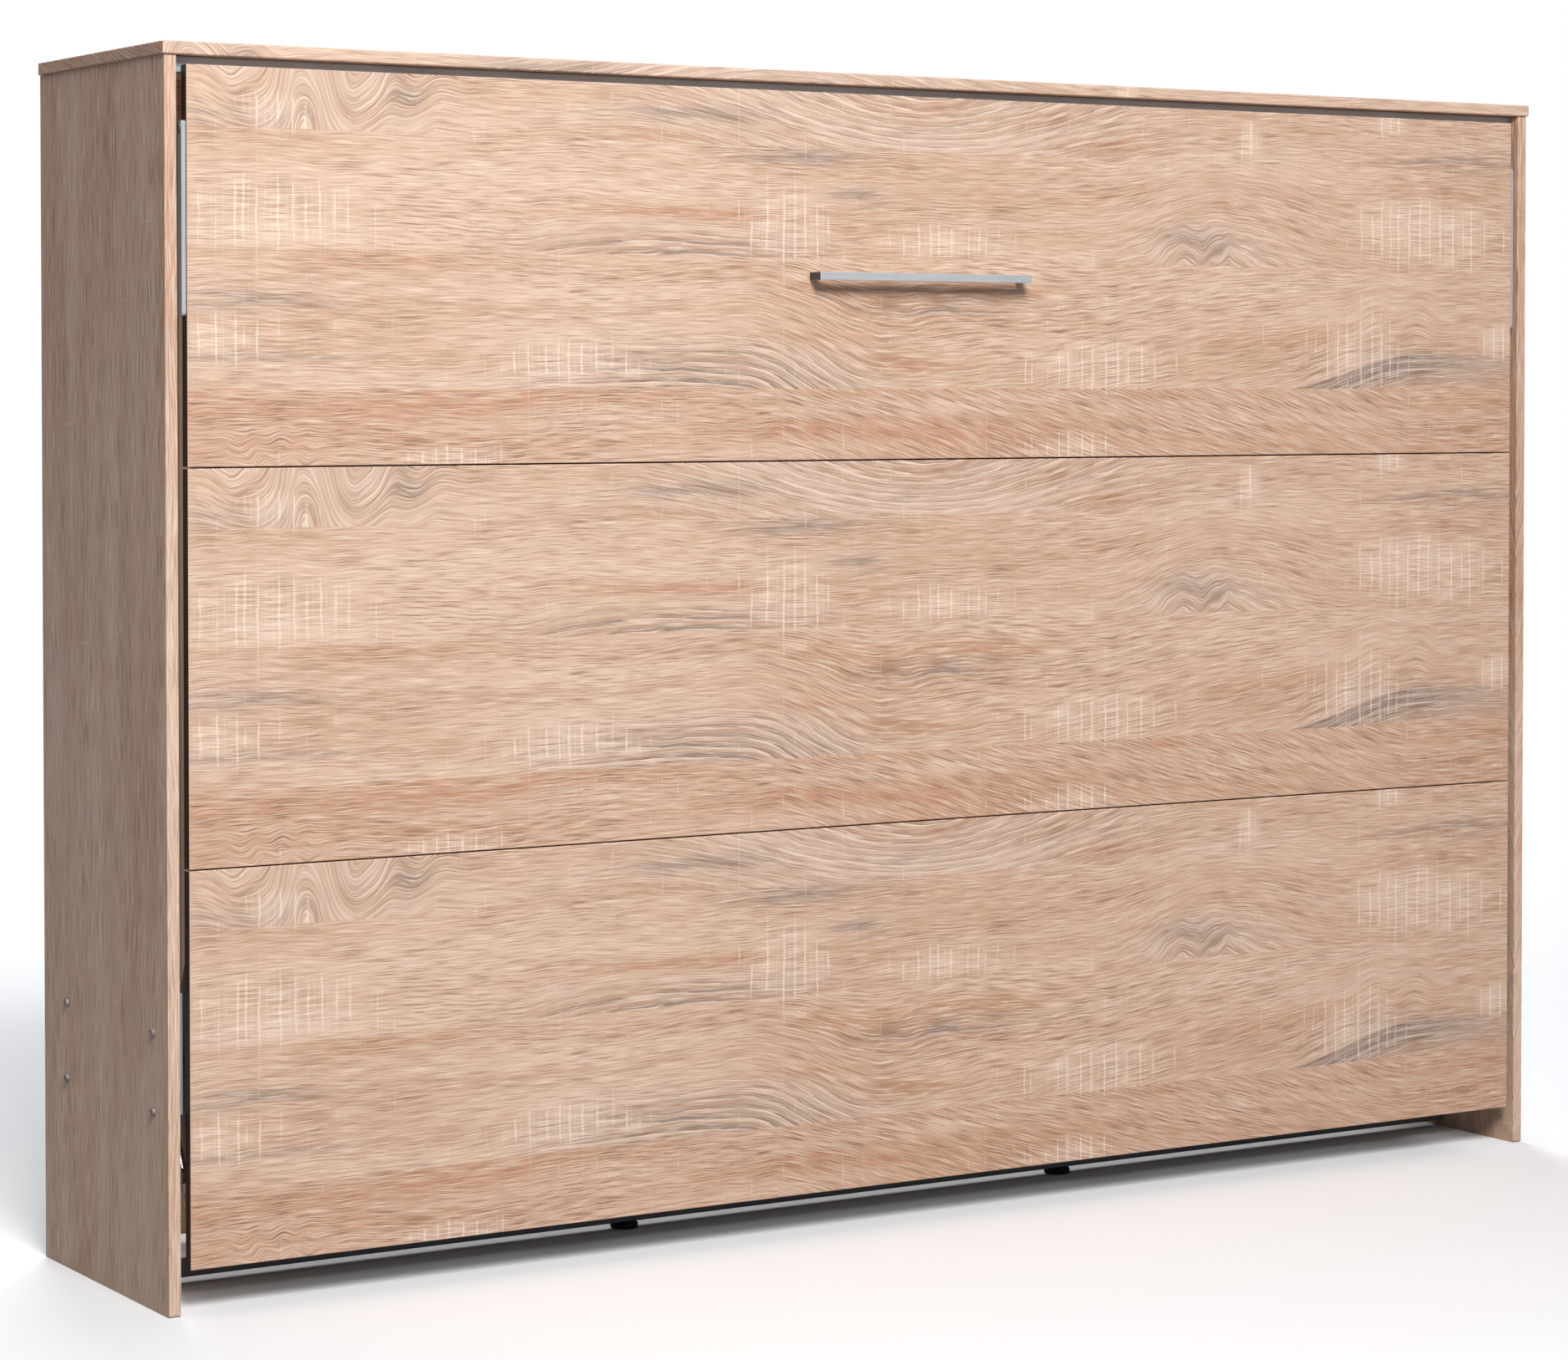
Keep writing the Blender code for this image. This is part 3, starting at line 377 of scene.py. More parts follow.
    # Saw marks, pale and square to the grain, broken up by the fibres that they cross.
    marked = clouds(flat, SAW_MARKS)
    ragged = flat.noise((60.0, 20.0, 0.0), 1.0) - 0.5
    fading = (marked + ragged * 1.7).rise(0.10, 0.75)
    mark = 0.0
    for pitch, width, weight in ((50.0, 0.10, 1.0), (95.0, 0.06, 0.6)):
        wander = along + flat.noise((9.0, 30.0, 0.0), 0.0) * 0.004
        cells = along.node(
            "ShaderNodeTexVoronoi",
            {"voronoi_dimensions": "1D", "feature": "DISTANCE_TO_EDGE"},
            {"W": wander, "Scale": pitch, "Randomness": 1.0},
        )
        mark = cells.rise(width, width * 0.3) * weight + mark
    crossed = fibre.rise(0.40, 0.60, 0.35, 1.0)
    bleached = marked.rise(0.10, 0.9) * (0.16 + fibre.rise(0.48, 0.62) * 0.38) * (1.0 - fan_fill * 0.8)
    colour = (bleached + mark * fading * crossed * 0.9).paint(colour, LIGHT_FIBRE)
    colour = (paler * 0.10).paint(colour, LIGHT_FIBRE)
    feed(shader, "Base Color", colour)
    feed(shader, "Roughness", fibre.rise(0.3, 0.7, 0.60, 0.46))
    raise_grain(shader, fibre, 0.0004, 0.35)


END_SHIFT = (1.2, 0.3)


def laminate(name, along, across, shift, wrap=None):
    """The decor on one board, with its grain on one axis and its breadth on another.

    The shift picks the stretch of the print. With wrap, boards of that pitch share one stretch, and
    their end faces are painted dark brown as painted shade.
    """
    material, shader, spots = finish(name, constants=[("Specular IOR Level", 0.35)])
    place = dict(zip("xyz", spots.split()))
    faces = dict(zip("xyz", facing(spots)))
    thick = (set("xyz") - {along, across}).pop()
    on_end = abs(faces[along]) > 0.7
    on_edge = abs(faces[thick]) < 0.5
    sign = -1.0 if wrap else 1.0
    near = on_end.mixed(place[along] + shift[0], place[across] + END_SHIFT[0])
    far = on_end.mixed(place[across] * sign + place[thick] + shift[1], place[thick] + END_SHIFT[1])
    if wrap:
        far = far % wrap
    oak_decor(shader, near, far, on_edge)
    if wrap:
        printed = Field(spots.tree, shader.inputs["Base Color"].links[0].from_socket)
        # The end faces are painted dark brown: painted shade.
        feed(shader, "Base Color", on_end.paint(printed, END_PAINTED_SHADE))
    return material


def dress(material, *names):
    """Gives CAD nodes a material, and leaves their meshes alone."""
    for name in names:
        nodes[name].data.materials.clear()
        nodes[name].data.materials.append(material)


dress(laminate("oak_left_side", "z", "y", (0.42, 0.245)), "left_side_panel")
dress(laminate("oak_right_side", "z", "y", (0.95, 0.245)), "right_side_panel")
dress(laminate("oak_top", "x", "y", (1.30, -1.33)), "top_board")
dress(laminate("oak_traverses", "x", "z", (1.15, -1.30)), "upper_rear_traverse", "lower_rear_traverse")

low_board, high_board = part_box("front_board_lower"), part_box("front_board_upper")
board_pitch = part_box("front_board_middle")[0].z - low_board[0].z
front_shift = (-high_board[0].x, high_board[1].z - high_board[0].y)
# The ends of the front boards get the dark brown painted shade.
front_oak = laminate("oak_front", "x", "z", front_shift, wrap=board_pitch)
dress(front_oak, "front_board_lower", "front_board_middle", "front_board_upper")


# ---- rails and feet ---------------------------------------------------------------------------------
# Two grey powder-coated steel tubes run between the sides: the upper one stops the front, the lower one
# stands on two moulded plastic feet near the floor.

def powder_coat(name, colour, roughness=0.5):
    """Baked powder on steel: a fine orange peel, a little uneven in tone, faintly rubbed."""
    material, shader, spots = finish(name, roughness)
    cloud = spots.noise((9.0, 9.0, 9.0), 3.0)
    peel = spots.noise((900.0, 900.0, 900.0), 1.0)
    darker = tuple(c * 0.86 for c in colour[:3]) + (1.0,)
    feed(shader, "Base Color", cloud.rise(0.35, 0.65).paint(darker, colour))
    feed(shader, "Roughness", cloud.rise(0.3, 0.7, roughness - 0.06, roughness + 0.08))
    raise_grain(shader, peel, 0.00025, 0.5)
    return material


def moulded_plastic(name, colour, roughness=0.42):
    """Spark-eroded moulded plastic: a fine even grain."""
    material, shader, spots = finish(name, roughness)
    grain = spots.noise((1500.0, 1500.0, 1500.0), 2.0)
    paler = tuple(min(1.0, c * 1.5 + 0.004) for c in colour[:3]) + (1.0,)
    feed(shader, "Base Color", (grain.rise(0.4, 0.75) * 0.6).paint(colour, paler))
    feed(shader, "Roughness", grain.rise(0.3, 0.7, roughness, roughness + 0.12))
    raise_grain(shader, grain, 0.0002, 0.5)
    return material


# Both tubes have one grey coat. It is painted lighter on the upper tube as painted light, and darker on the
# floor rail as painted shade.
dress(powder_coat("rail_grey_painted_light", linear(198, 206, 211), 0.5), "top_stop_rail")
dress(powder_coat("rail_grey_painted_shade", linear(124, 126, 127), 0.55), "front_floor_rail")

FOOT_RIBS = 24
FOOT_GROOVE = 0.0007
FOOT_STEPS = 96
foot_plastic = moulded_plastic("foot_plastic", linear(24, 24, 25))


def add_piece(name, mesh, material, body, slot, *stands_for):
    """A finished piece at the origin, riding on its body."""
    piece = bpy.data.objects.new(name, mesh)
    scene.collection.objects.link(piece)
    mesh.materials.clear()
    mesh.materials.append(material)
    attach(piece, body)
    if stands_for:
        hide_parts(*stands_for)
    return piece


def turned_mesh(profile, steps):
    """A closed solid turned about Z from (radius, height) points that start and end on the axis."""
    form = bmesh.new()
    rings = []
    for radius, height in profile:
        if radius == 0.0:
            rings.append([form.verts.new((0.0, 0.0, height))])
            continue
        ring = []
        for k in range(steps):
            turn = 2 * math.pi * k / steps
            ring.append(form.verts.new((radius * math.cos(turn), radius * math.sin(turn), height)))
        rings.append(ring)
    for low, high in zip(rings, rings[1:]):
        for k in range(steps):
            corners = [low[k % len(low)], low[(k + 1) % len(low)]]
            corners += [high[(k + 1) % len(high)], high[k % len(high)]]
            form.faces.new(list(dict.fromkeys(corners)))
    bmesh.ops.recalc_face_normals(form, faces=form.faces)
    return form


def smooth_mesh(form, name, angle=35):
    """Ends the form as a mesh that is smooth except along its sharp edges."""
    mesh = bpy.data.meshes.new(name)
    form.to_mesh(mesh)
    form.free()
    mesh.shade_smooth()
    mesh.set_sharp_from_angle(angle=math.radians(angle))
    return mesh


def repeated(name, spots, turns, unit, material, body, slot, *stands_for):
    """Copies of one small mesh on a cloud of points, each with its own turn, as one piece."""
    seeds = bpy.data.meshes.new(name + "_seeds")
    seeds.from_pydata(spots, [], [])
    turn = seeds.attributes.new("turn", "FLOAT_VECTOR", "POINT")
    turn.data.foreach_set("vector", [angle for angles in turns for angle in angles])
    host = bpy.data.objects.new(name + "_host", seeds)
    scene.collection.objects.link(host)
    model = bpy.data.objects.new(name + "_unit", unit)
    scene.collection.objects.link(model)

    tree = bpy.data.node_groups.new(name + "_tree", "GeometryNodeTree")
    tree.interface.new_socket("Geometry", in_out="INPUT", socket_type="NodeSocketGeometry")
    scale = tree.interface.new_socket("Unit scale", in_out="INPUT", socket_type="NodeSocketFloat")
    tree.interface.new_socket("Geometry", in_out="OUTPUT", socket_type="NodeSocketGeometry")
    kinds = ("NodeGroupInput", "GeometryNodeObjectInfo", "GeometryNodeInputNamedAttribute",
             "GeometryNodeInstanceOnPoints", "GeometryNodeRealizeInstances", "GeometryNodeSetMaterial",
             "NodeGroupOutput")
    given, info, angles, instances, real, coat, result = [tree.nodes.new(kind) for kind in kinds]
    info.inputs["Object"].default_value = model
    angles.data_type = "FLOAT_VECTOR"
    angles.inputs["Name"].default_value = "turn"
    coat.inputs["Material"].default_value = material
    link = tree.links.new
    link(given.outputs["Geometry"], instances.inputs["Points"])
    link(info.outputs["Geometry"], instances.inputs["Instance"])
    link(angles.outputs["Attribute"], instances.inputs["Rotation"])
    link(given.outputs["Unit scale"], instances.inputs["Scale"])
    link(instances.outputs["Instances"], real.inputs["Geometry"])
    link(real.outputs["Geometry"], coat.inputs["Geometry"])
    link(coat.outputs["Geometry"], result.inputs["Geometry"])
    modifier = host.modifiers.new(name, "NODES")
    modifier.node_group = tree
    modifier[scale.identifier] = 1.0
    evaluated = host.evaluated_get(bpy.context.evaluated_depsgraph_get())
    mesh = bpy.data.meshes.new_from_object(evaluated)
    mesh.name = name
    for spare in (host, model):
        bpy.data.objects.remove(spare)
    return add_piece(name, mesh, material, body, slot, *stands_for)


for side in ("left", "right"):
    low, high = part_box(f"floor_rail_foot_{side}")
    radius, height, middle = (high.x - low.x) / 2, high.z - low.z, (low + high) / 2
    outline = [(0.0, 0.0), (radius - 0.003, 0.0), (radius - 0.0012, 0.0006), (radius, 0.0022)]
    outline += [(radius, height - 0.003), (radius - 0.002, height - 0.001), (radius - 0.006, height)]
    outline += [(0.0, height)]
    foot = turned_mesh(outline, FOOT_STEPS)
    for vertex in foot.verts:
        turn = math.atan2(vertex.co.y, vertex.co.x)
        reach = math.hypot(vertex.co.x, vertex.co.y)
        if reach > radius - 0.0005:
            groove = 1.0 - FOOT_GROOVE / reach * (1 if math.cos(FOOT_RIBS * turn) < -0.3 else 0)
            vertex.co.x *= groove
            vertex.co.y *= groove
    foot.transform(Matrix.Translation((middle.x, middle.y, low.z)))
    mesh = smooth_mesh(foot, f"rail_foot_{side}")
    add_piece(f"rail_foot_{side}", mesh, foot_plastic, "cabinet", "black_plastic", f"floor_rail_foot_{side}")


# ---- bolts, plates, pins and brackets ---------------------------------------------------------------
# Zinc-plated steel: low domed socket bolts clamp a plate inside each side, which carries the pivot pin.
# A bracket on each side holds the top of the gas strut, and two angles tie the cabinet to the wall.

def zinc_plate(name, colour, roughness=0.38):
    """Zinc-plated steel: cloudy crystals, dull where it was rubbed, with fine scratches."""
    material, shader, spots = finish(name, roughness, 0.85)
    crystals = spots.node("ShaderNodeTexVoronoi", None, {"Vector": spots, "Scale": 260.0})
    crystal_tone = Field(spots.tree, crystals.socket.node.outputs["Color"])
    shade = spots.node("ShaderNodeSeparateColor", None, {0: crystal_tone})
    cloud = spots.noise((40.0, 40.0, 40.0), 3.0)
    scratch = spots.noise((60.0, 60.0, 2600.0), 2.0)
    dull = tuple(c * 0.62 for c in colour[:3]) + (1.0,)
    feed(shader, "Base Color", (shade * 0.35 + cloud * 0.65).rise(0.2, 0.75).paint(dull, colour))
    feed(shader, "Roughness", cloud.rise(0.3, 0.7, roughness - 0.08, roughness + 0.14))
    raise_grain(shader, scratch, 0.0001, 0.4)
    return material


zinc = zinc_plate("zinc_steel", linear(190, 192, 195))
dull_nickel = zinc_plate("dull_nickel", linear(196, 184, 177), 0.68)
mechanism_grey = powder_coat("mechanism_grey", linear(150, 153, 155), 0.5)
HEX_ACROSS = 0.0029
HEX_DEEP = 0.0016
BOLT_SHANK = 0.0030
BOLT_TURN = 0.3
SEAT_GAP = 0.0003


def socket_head(radius, height, shank, depth):
    """A domed head with a hexagon socket, standing on Z = 0 and its shank below."""
    outline = [(0.0, -depth), (shank - 0.0006, -depth), (shank, -depth + 0.0006), (shank, 0.0)]
    outline += [(radius - 0.0003, 0.0), (radius, 0.0003), (radius, height * 0.3)]
    outline += [(radius * 0.93, height * 0.62), (radius * 0.74, height * 0.92), (radius * 0.55, height)]
    form = turned_mesh(outline + [(HEX_ACROSS, height), (HEX_ACROSS * 0.98, height - HEX_DEEP),
                                  (0.0, height - HEX_DEEP - 0.0004)], 36)
    for vertex in form.verts:
        reach = math.hypot(vertex.co.x, vertex.co.y)
        if 0.0 < reach < HEX_ACROSS * 1.01 and vertex.co.z > 0.0:
            turn = math.atan2(vertex.co.y, vertex.co.x) % (math.pi / 3) - math.pi / 6
            stretch = math.cos(math.pi / 6) / math.cos(turn)
            vertex.co.x *= stretch
            vertex.co.y *= stretch
    return form


bolt_names = [
    f"bolt_{side}_{spot}"
    for side in ("left", "right")
    for spot in ("lower_front", "upper_front", "lower_rear", "upper_rear")
]
bolt_spots, bolt_turns = [], []
for name in bolt_names:
    low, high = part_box(name)
    outward = -1 if "left" in name else 1
    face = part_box("left_side_panel")[0].x if outward < 0 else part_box("right_side_panel")[1].x
    bolt_spots.append((face + outward * SEAT_GAP, (low.y + high.y) / 2, (low.z + high.z) / 2))
    spin = Matrix.Rotation(BOLT_TURN * len(bolt_spots), 3, "Z")
    bolt_turns.append((Matrix.Rotation(outward * math.pi / 2, 3, "Y") @ spin).to_euler())
low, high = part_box(bolt_names[0])
head_radius = (high.y - low.y) / 2
head_height = bolt_spots[0][0] - low.x
bolt_depth = high.x - low.x - head_height
bolt_form = socket_head(head_radius, head_height, BOLT_SHANK, bolt_depth)
bolt_unit = smooth_mesh(bolt_form, "bolt_unit", 40)
repeated("mechanism_bolts", bolt_spots, bolt_turns, bolt_unit, dull_nickel, "cabinet", "zinc_steel",
         *bolt_names)

dress(mechanism_grey, "mechanism_plate_left", "mechanism_plate_right", "hinge_arm_left", "hinge_arm_right")
dress(zinc, "pivot_pin_left", "pivot_pin_right", "strut_bracket_left", "strut_bracket_right",
      "wall_bracket_left", "wall_bracket_right", "leg_screw_left", "leg_screw_right")


# ---- handle and legs --------------------------------------------------------------------------------
# An anodised square bar handle, and two flat silver legs that hang from shoulder screws in the ends of
# the upper front board. Both are drawn stock with faint lines along them.

def drawn_silver(name, colour, along, roughness=0.40, metallic=0.35, end_colour=None):
    """Drawn and anodised metal: fine lines along its length. Its ends may be darker."""
    material, shader, spots = finish(name, roughness, metallic)
    scale = tuple(14.0 if axis == along else 1700.0 for axis in "xyz")
    lines = spots.noise(scale, 3.0, 0.6)
    cloud = spots.noise((12.0, 12.0, 12.0), 2.0)
    darker = tuple(c * 0.88 for c in colour[:3]) + (1.0,)
    tone = (lines * 0.6 + cloud * 0.4).rise(0.36, 0.62).paint(darker, colour)
    if end_colour:
        on_end = abs(facing(spots)["xyz".index(along)]).rise(0.60, 0.75)
        tone = on_end.paint(tone, end_colour)
    feed(shader, "Base Color", tone)
    feed(shader, "Roughness", lines.rise(0.3, 0.7, roughness - 0.06, roughness + 0.08))
    raise_grain(shader, lines, 0.0001, 0.5)
    return material


handle_silver = drawn_silver("handle_silver", linear(214, 215, 216), "x", end_colour=linear(70, 68, 68))
dress(handle_silver, "pull_handle")
leg_silver = drawn_silver("leg_silver", linear(210, 211, 213), "z")
dress(leg_silver, "leg_left", "leg_right")


# ---- bed frame and slats ----------------------------------------------------------------------------
# Rectangular steel tube, welded and powder-coated grey, with a middle beam and eleven sprung slats of
# birch plywood. A ledge along the lower edge carries the mattress when the bed is shut.

frame_grey = powder_coat("frame_grey", linear(120, 124, 128), 0.5)
dress(frame_grey, "frame_tube_bottom", "frame_tube_top", "frame_tube_left", "frame_tube_right",
      "frame_middle_beam", "mattress_ledge")


def birch_plywood(name):
    """Rotary-cut birch along Z, with its plies as fine lines on the long edges, under thin lacquer."""
    material, shader, spots = finish(name, 0.42, constants=[("Coat Weight", 0.15), ("Coat Roughness", 0.35)])
    ply = (spots.split()[1] * 1100.0) % 1.0
    on_edge = abs(facing(spots)[0]).rise(0.5, 0.8)
    grain = spots.noise((160.0, 160.0, 5.0), 4.0, 0.6)
    flecks = spots.noise((900.0, 900.0, 60.0), 2.0)
    tone = (grain * 0.7 + flecks * 0.3).rise(0.34, 0.64).paint(linear(200, 168, 124), linear(229, 204, 165))
    glue = on_edge * ((ply < 0.16) * 0.8 + (ply > 0.55) * 0.25)
    feed(shader, "Base Color", glue.paint(tone, linear(128, 92, 58)))
    feed(shader, "Roughness", grain.rise(0.3, 0.7, 0.36, 0.5))
    raise_grain(shader, flecks, 0.0002, 0.4)
    return material


dress(birch_plywood("birch_slats"), *[f"slat_{number:02d}" for number in range(1, 12)])


# ---- mattress ---------------------------------------------------------------------------------------
# A foam mattress in a knitted cover: the broad faces are quilted in diamonds, the border is a flat band,
# and a piped seam runs round both edges. It stands on the ledge with its back against the slats.

low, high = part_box("mattress")
half = (high - low) / 2
middle = (high + low) / 2
CELL = 0.016
QUILT = 0.200
QUILT_MARGIN = 0.050
STITCH_REACH = 0.016
EDGE_ROUND = 0.030
SEAM_IN = 0.020
SEAM_DEEP = 0.022
SINK = 0.007
SWELL = 0.0075
GROOVE_MARGIN = 0.045
GROOVE_REACH = 0.020
GROOVE_DEPTH = 0.0050


def quilt_line(along, up):
    """How far a spot on the broad face is from the nearest stitched diagonal, in metres."""
    gaps = []
    for lean in (along + up, along - up):
        share = (lean / (QUILT * math.sqrt(2))) % 1.0
        gaps.append(min(share, 1.0 - share) * QUILT)
    return min(gaps)


form = bmesh.new()
counts = [round(2 * extent / CELL) for extent in half]
for axis in range(3):
    first, second = [k for k in range(3) if k != axis]
    for end in (-1, 1):
        grid = {}
        for i in range(counts[first] + 1):
            for j in range(counts[second] + 1):
                spot = Vector((0.0, 0.0, 0.0))
                spot[axis] = end * half[axis]
                spot[first] = (2 * i / counts[first] - 1) * half[first]
                spot[second] = (2 * j / counts[second] - 1) * half[second]
                grid[i, j] = form.verts.new(spot)
        for i in range(counts[first]):
            for j in range(counts[second]):
                form.faces.new((grid[i, j], grid[i + 1, j], grid[i + 1, j + 1], grid[i, j + 1]))
bmesh.ops.remove_doubles(form, verts=form.verts, dist=CELL / 50)
bmesh.ops.recalc_face_normals(form, faces=form.faces)
inner = half - Vector((EDGE_ROUND,) * 3)
for vertex in form.verts:
    core = Vector([max(-reach, min(reach, c)) for c, reach in zip(vertex.co, inner)])
    away = vertex.co - core
    vertex.co = core + away.normalized() * EDGE_ROUND
    if vertex.co.y > half.y - EDGE_ROUND:
        vertex.co.y -= SINK * (vertex.co.y - half.y + EDGE_ROUND) / EDGE_ROUND
form.transform(Matrix.Translation(middle))
cover = bpy.data.meshes.new("mattress_cover")
form.to_mesh(cover)
form.free()
pad = bpy.data.objects.new("foam_mattress", cover)
scene.collection.objects.link(pad)

stitched = pad.vertex_groups.new(name="stitched")
for vertex in cover.vertices:
    spot = vertex.co - middle
    inside = abs(spot.x) < half.x - QUILT_MARGIN and abs(spot.z) < half.z - QUILT_MARGIN
    hold = 0.0
    if inside and spot.y > half.y - 0.016:
        hold = 1.0 - min(1.0, quilt_line(spot.x, spot.z) / STITCH_REACH)
    if spot.y < -half.y + 0.010:
        hold = 1.0
    border_edge = abs(abs(spot.x) - half.x) < SEAM_IN or abs(abs(spot.z) - half.z) < SEAM_IN
    if border_edge and abs(abs(spot.y) - half.y) < SEAM_DEEP:
        hold = 0.9
    if hold > 0.0:
        stitched.add([vertex.index], hold, "REPLACE")

CLOTH_STEPS = 20
before = [vertex.co.copy() for vertex in cover.vertices]
cloth = pad.modifiers.new("swell", "CLOTH")
cloth.settings.quality = 4
cloth.settings.mass = 0.25
cloth.settings.use_pressure = True
cloth.settings.uniform_pressure_force = 4.0
cloth.settings.tension_stiffness = 12.0
cloth.settings.shear_stiffness = 8.0
cloth.settings.bending_stiffness = 0.4
cloth.settings.vertex_group_mass = "stitched"
cloth.settings.effector_weights.gravity = 0.0
cloth.point_cache.frame_start = 1
cloth.point_cache.frame_end = CLOTH_STEPS
for step in range(1, CLOTH_STEPS + 1):
    scene.frame_set(step)
grown = pad.evaluated_get(bpy.context.evaluated_depsgraph_get())
after = [vertex.co.copy() for vertex in grown.data.vertices]
pad.modifiers.remove(cloth)
scene.frame_set(1)
for vertex, start, end in zip(cover.vertices, before, after):
    push = end - start
    if push.length > SWELL:
        push = push.normalized() * SWELL
    vertex.co = start + push
smooth = pad.modifiers.new("finer", "SUBSURF")
smooth.levels = smooth.render_levels = 1
finer = bpy.data.meshes.new_from_object(pad.evaluated_get(bpy.context.evaluated_depsgraph_get()))
pad.modifiers.remove(smooth)
pad.data = finer
for vertex in finer.vertices:
    spot = vertex.co - middle
    inside = abs(spot.x) < half.x - GROOVE_MARGIN and abs(spot.z) < half.z - GROOVE_MARGIN
    if inside and spot.y > half.y - 0.03:
        near = max(0.0, 1.0 - quilt_line(spot.x, spot.z) / GROOVE_REACH)
        vertex.co.y -= GROOVE_DEPTH * near * near
    vertex.co.y = min(max(vertex.co.y, low.y), high.y)
finer.shade_smooth()


def knit_ticking(name, quilted=True):
    """A cream knit: fine ribs of loops, faintly mottled, with a needle line along each quilted diagonal."""
    material, shader, spots = finish(name, 0.85, constants=[("Sheen Weight", 0.25), ("Sheen Roughness", 0.5)])
    across, deep, up = spots.split()
    loops = (across * 2600.0).math("SINE") * (up * 1900.0 + deep * 1900.0).math("SINE")
    mottle = spots.noise((22.0, 22.0, 22.0), 3.0)
    lint = spots.noise((700.0, 700.0, 700.0), 2.0)
    tone = (mottle * 0.25 + lint * 0.5 + loops * 0.12).rise(0.22, 0.50)
    colour = tone.paint(linear(226, 221, 210), linear(243, 240, 232))
    height = loops * 0.35 + lint * 0.4
    if quilted:
        pitch = QUILT * math.sqrt(2)
        centred = (across - middle.x, up - middle.z)
        gaps = []
        for lean in (centred[0] + centred[1], centred[0] - centred[1]):
            share = (lean / pitch) % 1.0
            gaps.append(share.math("MINIMUM", 1.0 - share) * QUILT)
        near = gaps[0].math("MINIMUM", gaps[1])
        on_face = abs(facing(spots)[1]).rise(0.55, 0.75)
        stitch = near.rise(0.0022, 0.0008) * on_face
        dashes = ((across * 230.0) % 1.0).rise(0.25, 0.4)
        colour = (stitch * (0.25 + dashes * 0.4)).paint(colour, linear(176, 170, 158))
        height = height - near.rise(0.006, 0.0) * on_face * 2.5
    feed(shader, "Base Color", colour)
    feed(shader, "Roughness", lint.rise(0.3, 0.7, 0.78, 0.92))
    raise_grain(shader, height, 0.0008, 0.6)
    return material


finer.materials.append(knit_ticking("ticking_quilted"))
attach(pad, "bed")
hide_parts("mattress")


def swept_loop(path, section):
    """Carries a closed cross-section round a closed path in the XZ plane, mitred at its corners."""
    shape = bmesh.new()
    rings = []
    for number, (x, z) in enumerate(path):
        before, after = path[number - 1], path[(number + 1) % len(path)]
        ahead = Vector((after[0] - before[0], 0.0, after[1] - before[1])).normalized()
        out = Vector((ahead.z, 0.0, -ahead.x))
        here = Vector((x, 0.0, z))
        rings.append([shape.verts.new(here + out * a + Vector((0.0, b, 0.0))) for a, b in section])
    for one, other in zip(rings, rings[1:] + rings[:1]):
        for k in range(len(section)):
            after = (k + 1) % len(section)
            shape.faces.new((one[k], one[after], other[after], other[k]))
    bmesh.ops.recalc_face_normals(shape, faces=shape.faces)
    return shape


PIPING = 0.0032
loop = []
for sx, sz, start in ((1, 1, 0), (-1, 1, 90), (-1, -1, 180), (1, -1, 270)):
    for k in range(9):
        turn = math.radians(start + 90 * k / 8)
        reach = EDGE_ROUND - PIPING * 0.7
        loop.append((middle.x + sx * (half.x - EDGE_ROUND) + reach * math.cos(turn),
                     middle.z + sz * (half.z - EDGE_ROUND) + reach * math.sin(turn)))
section = [(PIPING * math.cos(t * math.pi / 5), PIPING * math.sin(t * math.pi / 5)) for t in range(10)]
piping_cloth = knit_ticking("ticking_piping", quilted=False)
for name, depth in (("rear", high.y - 0.020), ("slat_side", low.y + 0.016)):
    tube = swept_loop(loop, section)
    tube.transform(Matrix.Translation((0.0, depth, 0.0)))
    mesh = smooth_mesh(tube, f"piping_{name}", 60)
    add_piece(f"mattress_piping_{name}", mesh, piping_cloth, "bed", "ticking")


# ---- mattress straps --------------------------------------------------------------------------------
# Two flat woven polyester straps hold the mattress and the bedding. Each is screwed to the top tube, runs
# to the ledge, and closes with a side-release buckle on the rear face.

def strap_weave(name):
    """Black webbing: a twill of flat yarns across the width."""
    material, shader, spots = finish(name, 0.7, constants=[("Sheen Weight", 0.2)])
    across, deep, up = spots.split()
    run = up + deep
    diagonal = (across * 420.0 + run * 300.0) % 1.0
    rib = (run * 520.0) % 1.0
    yarn = abs(diagonal - 0.5) * 2.0
    lint = spots.noise((800.0, 800.0, 800.0), 2.0)
    tone = (yarn * 0.6 + lint * 0.5).rise(0.3, 0.9)
    feed(shader, "Base Color", tone.paint(linear(26, 27, 29), linear(62, 64, 68)))
    feed(shader, "Roughness", yarn.rise(0.0, 1.0, 0.62, 0.8))
    raise_grain(shader, yarn * 0.7 + abs(rib - 0.5) * 0.6, 0.0005, 0.8)
    return material


webbing = strap_weave("strap_webbing")
buckle_plastic = moulded_plastic("buckle_plastic", linear(28, 28, 30), 0.35)


def rounded_path(corners, radii, steps=6):
    """The corners of an open path in the YZ plane, each eased by its radius."""
    path = [Vector(corners[0])]
    for before, here, after, radius in zip(corners, corners[1:], corners[2:], radii):
        here, before, after = Vector(here), Vector(before), Vector(after)
        come, leave = (before - here).normalized(), (after - here).normalized()
        for k in range(steps + 1):
            share = k / steps
            path.append(here + come * radius * (1 - share) ** 2 + leave * radius * share**2)
    path.append(Vector(corners[-1]))
    return path


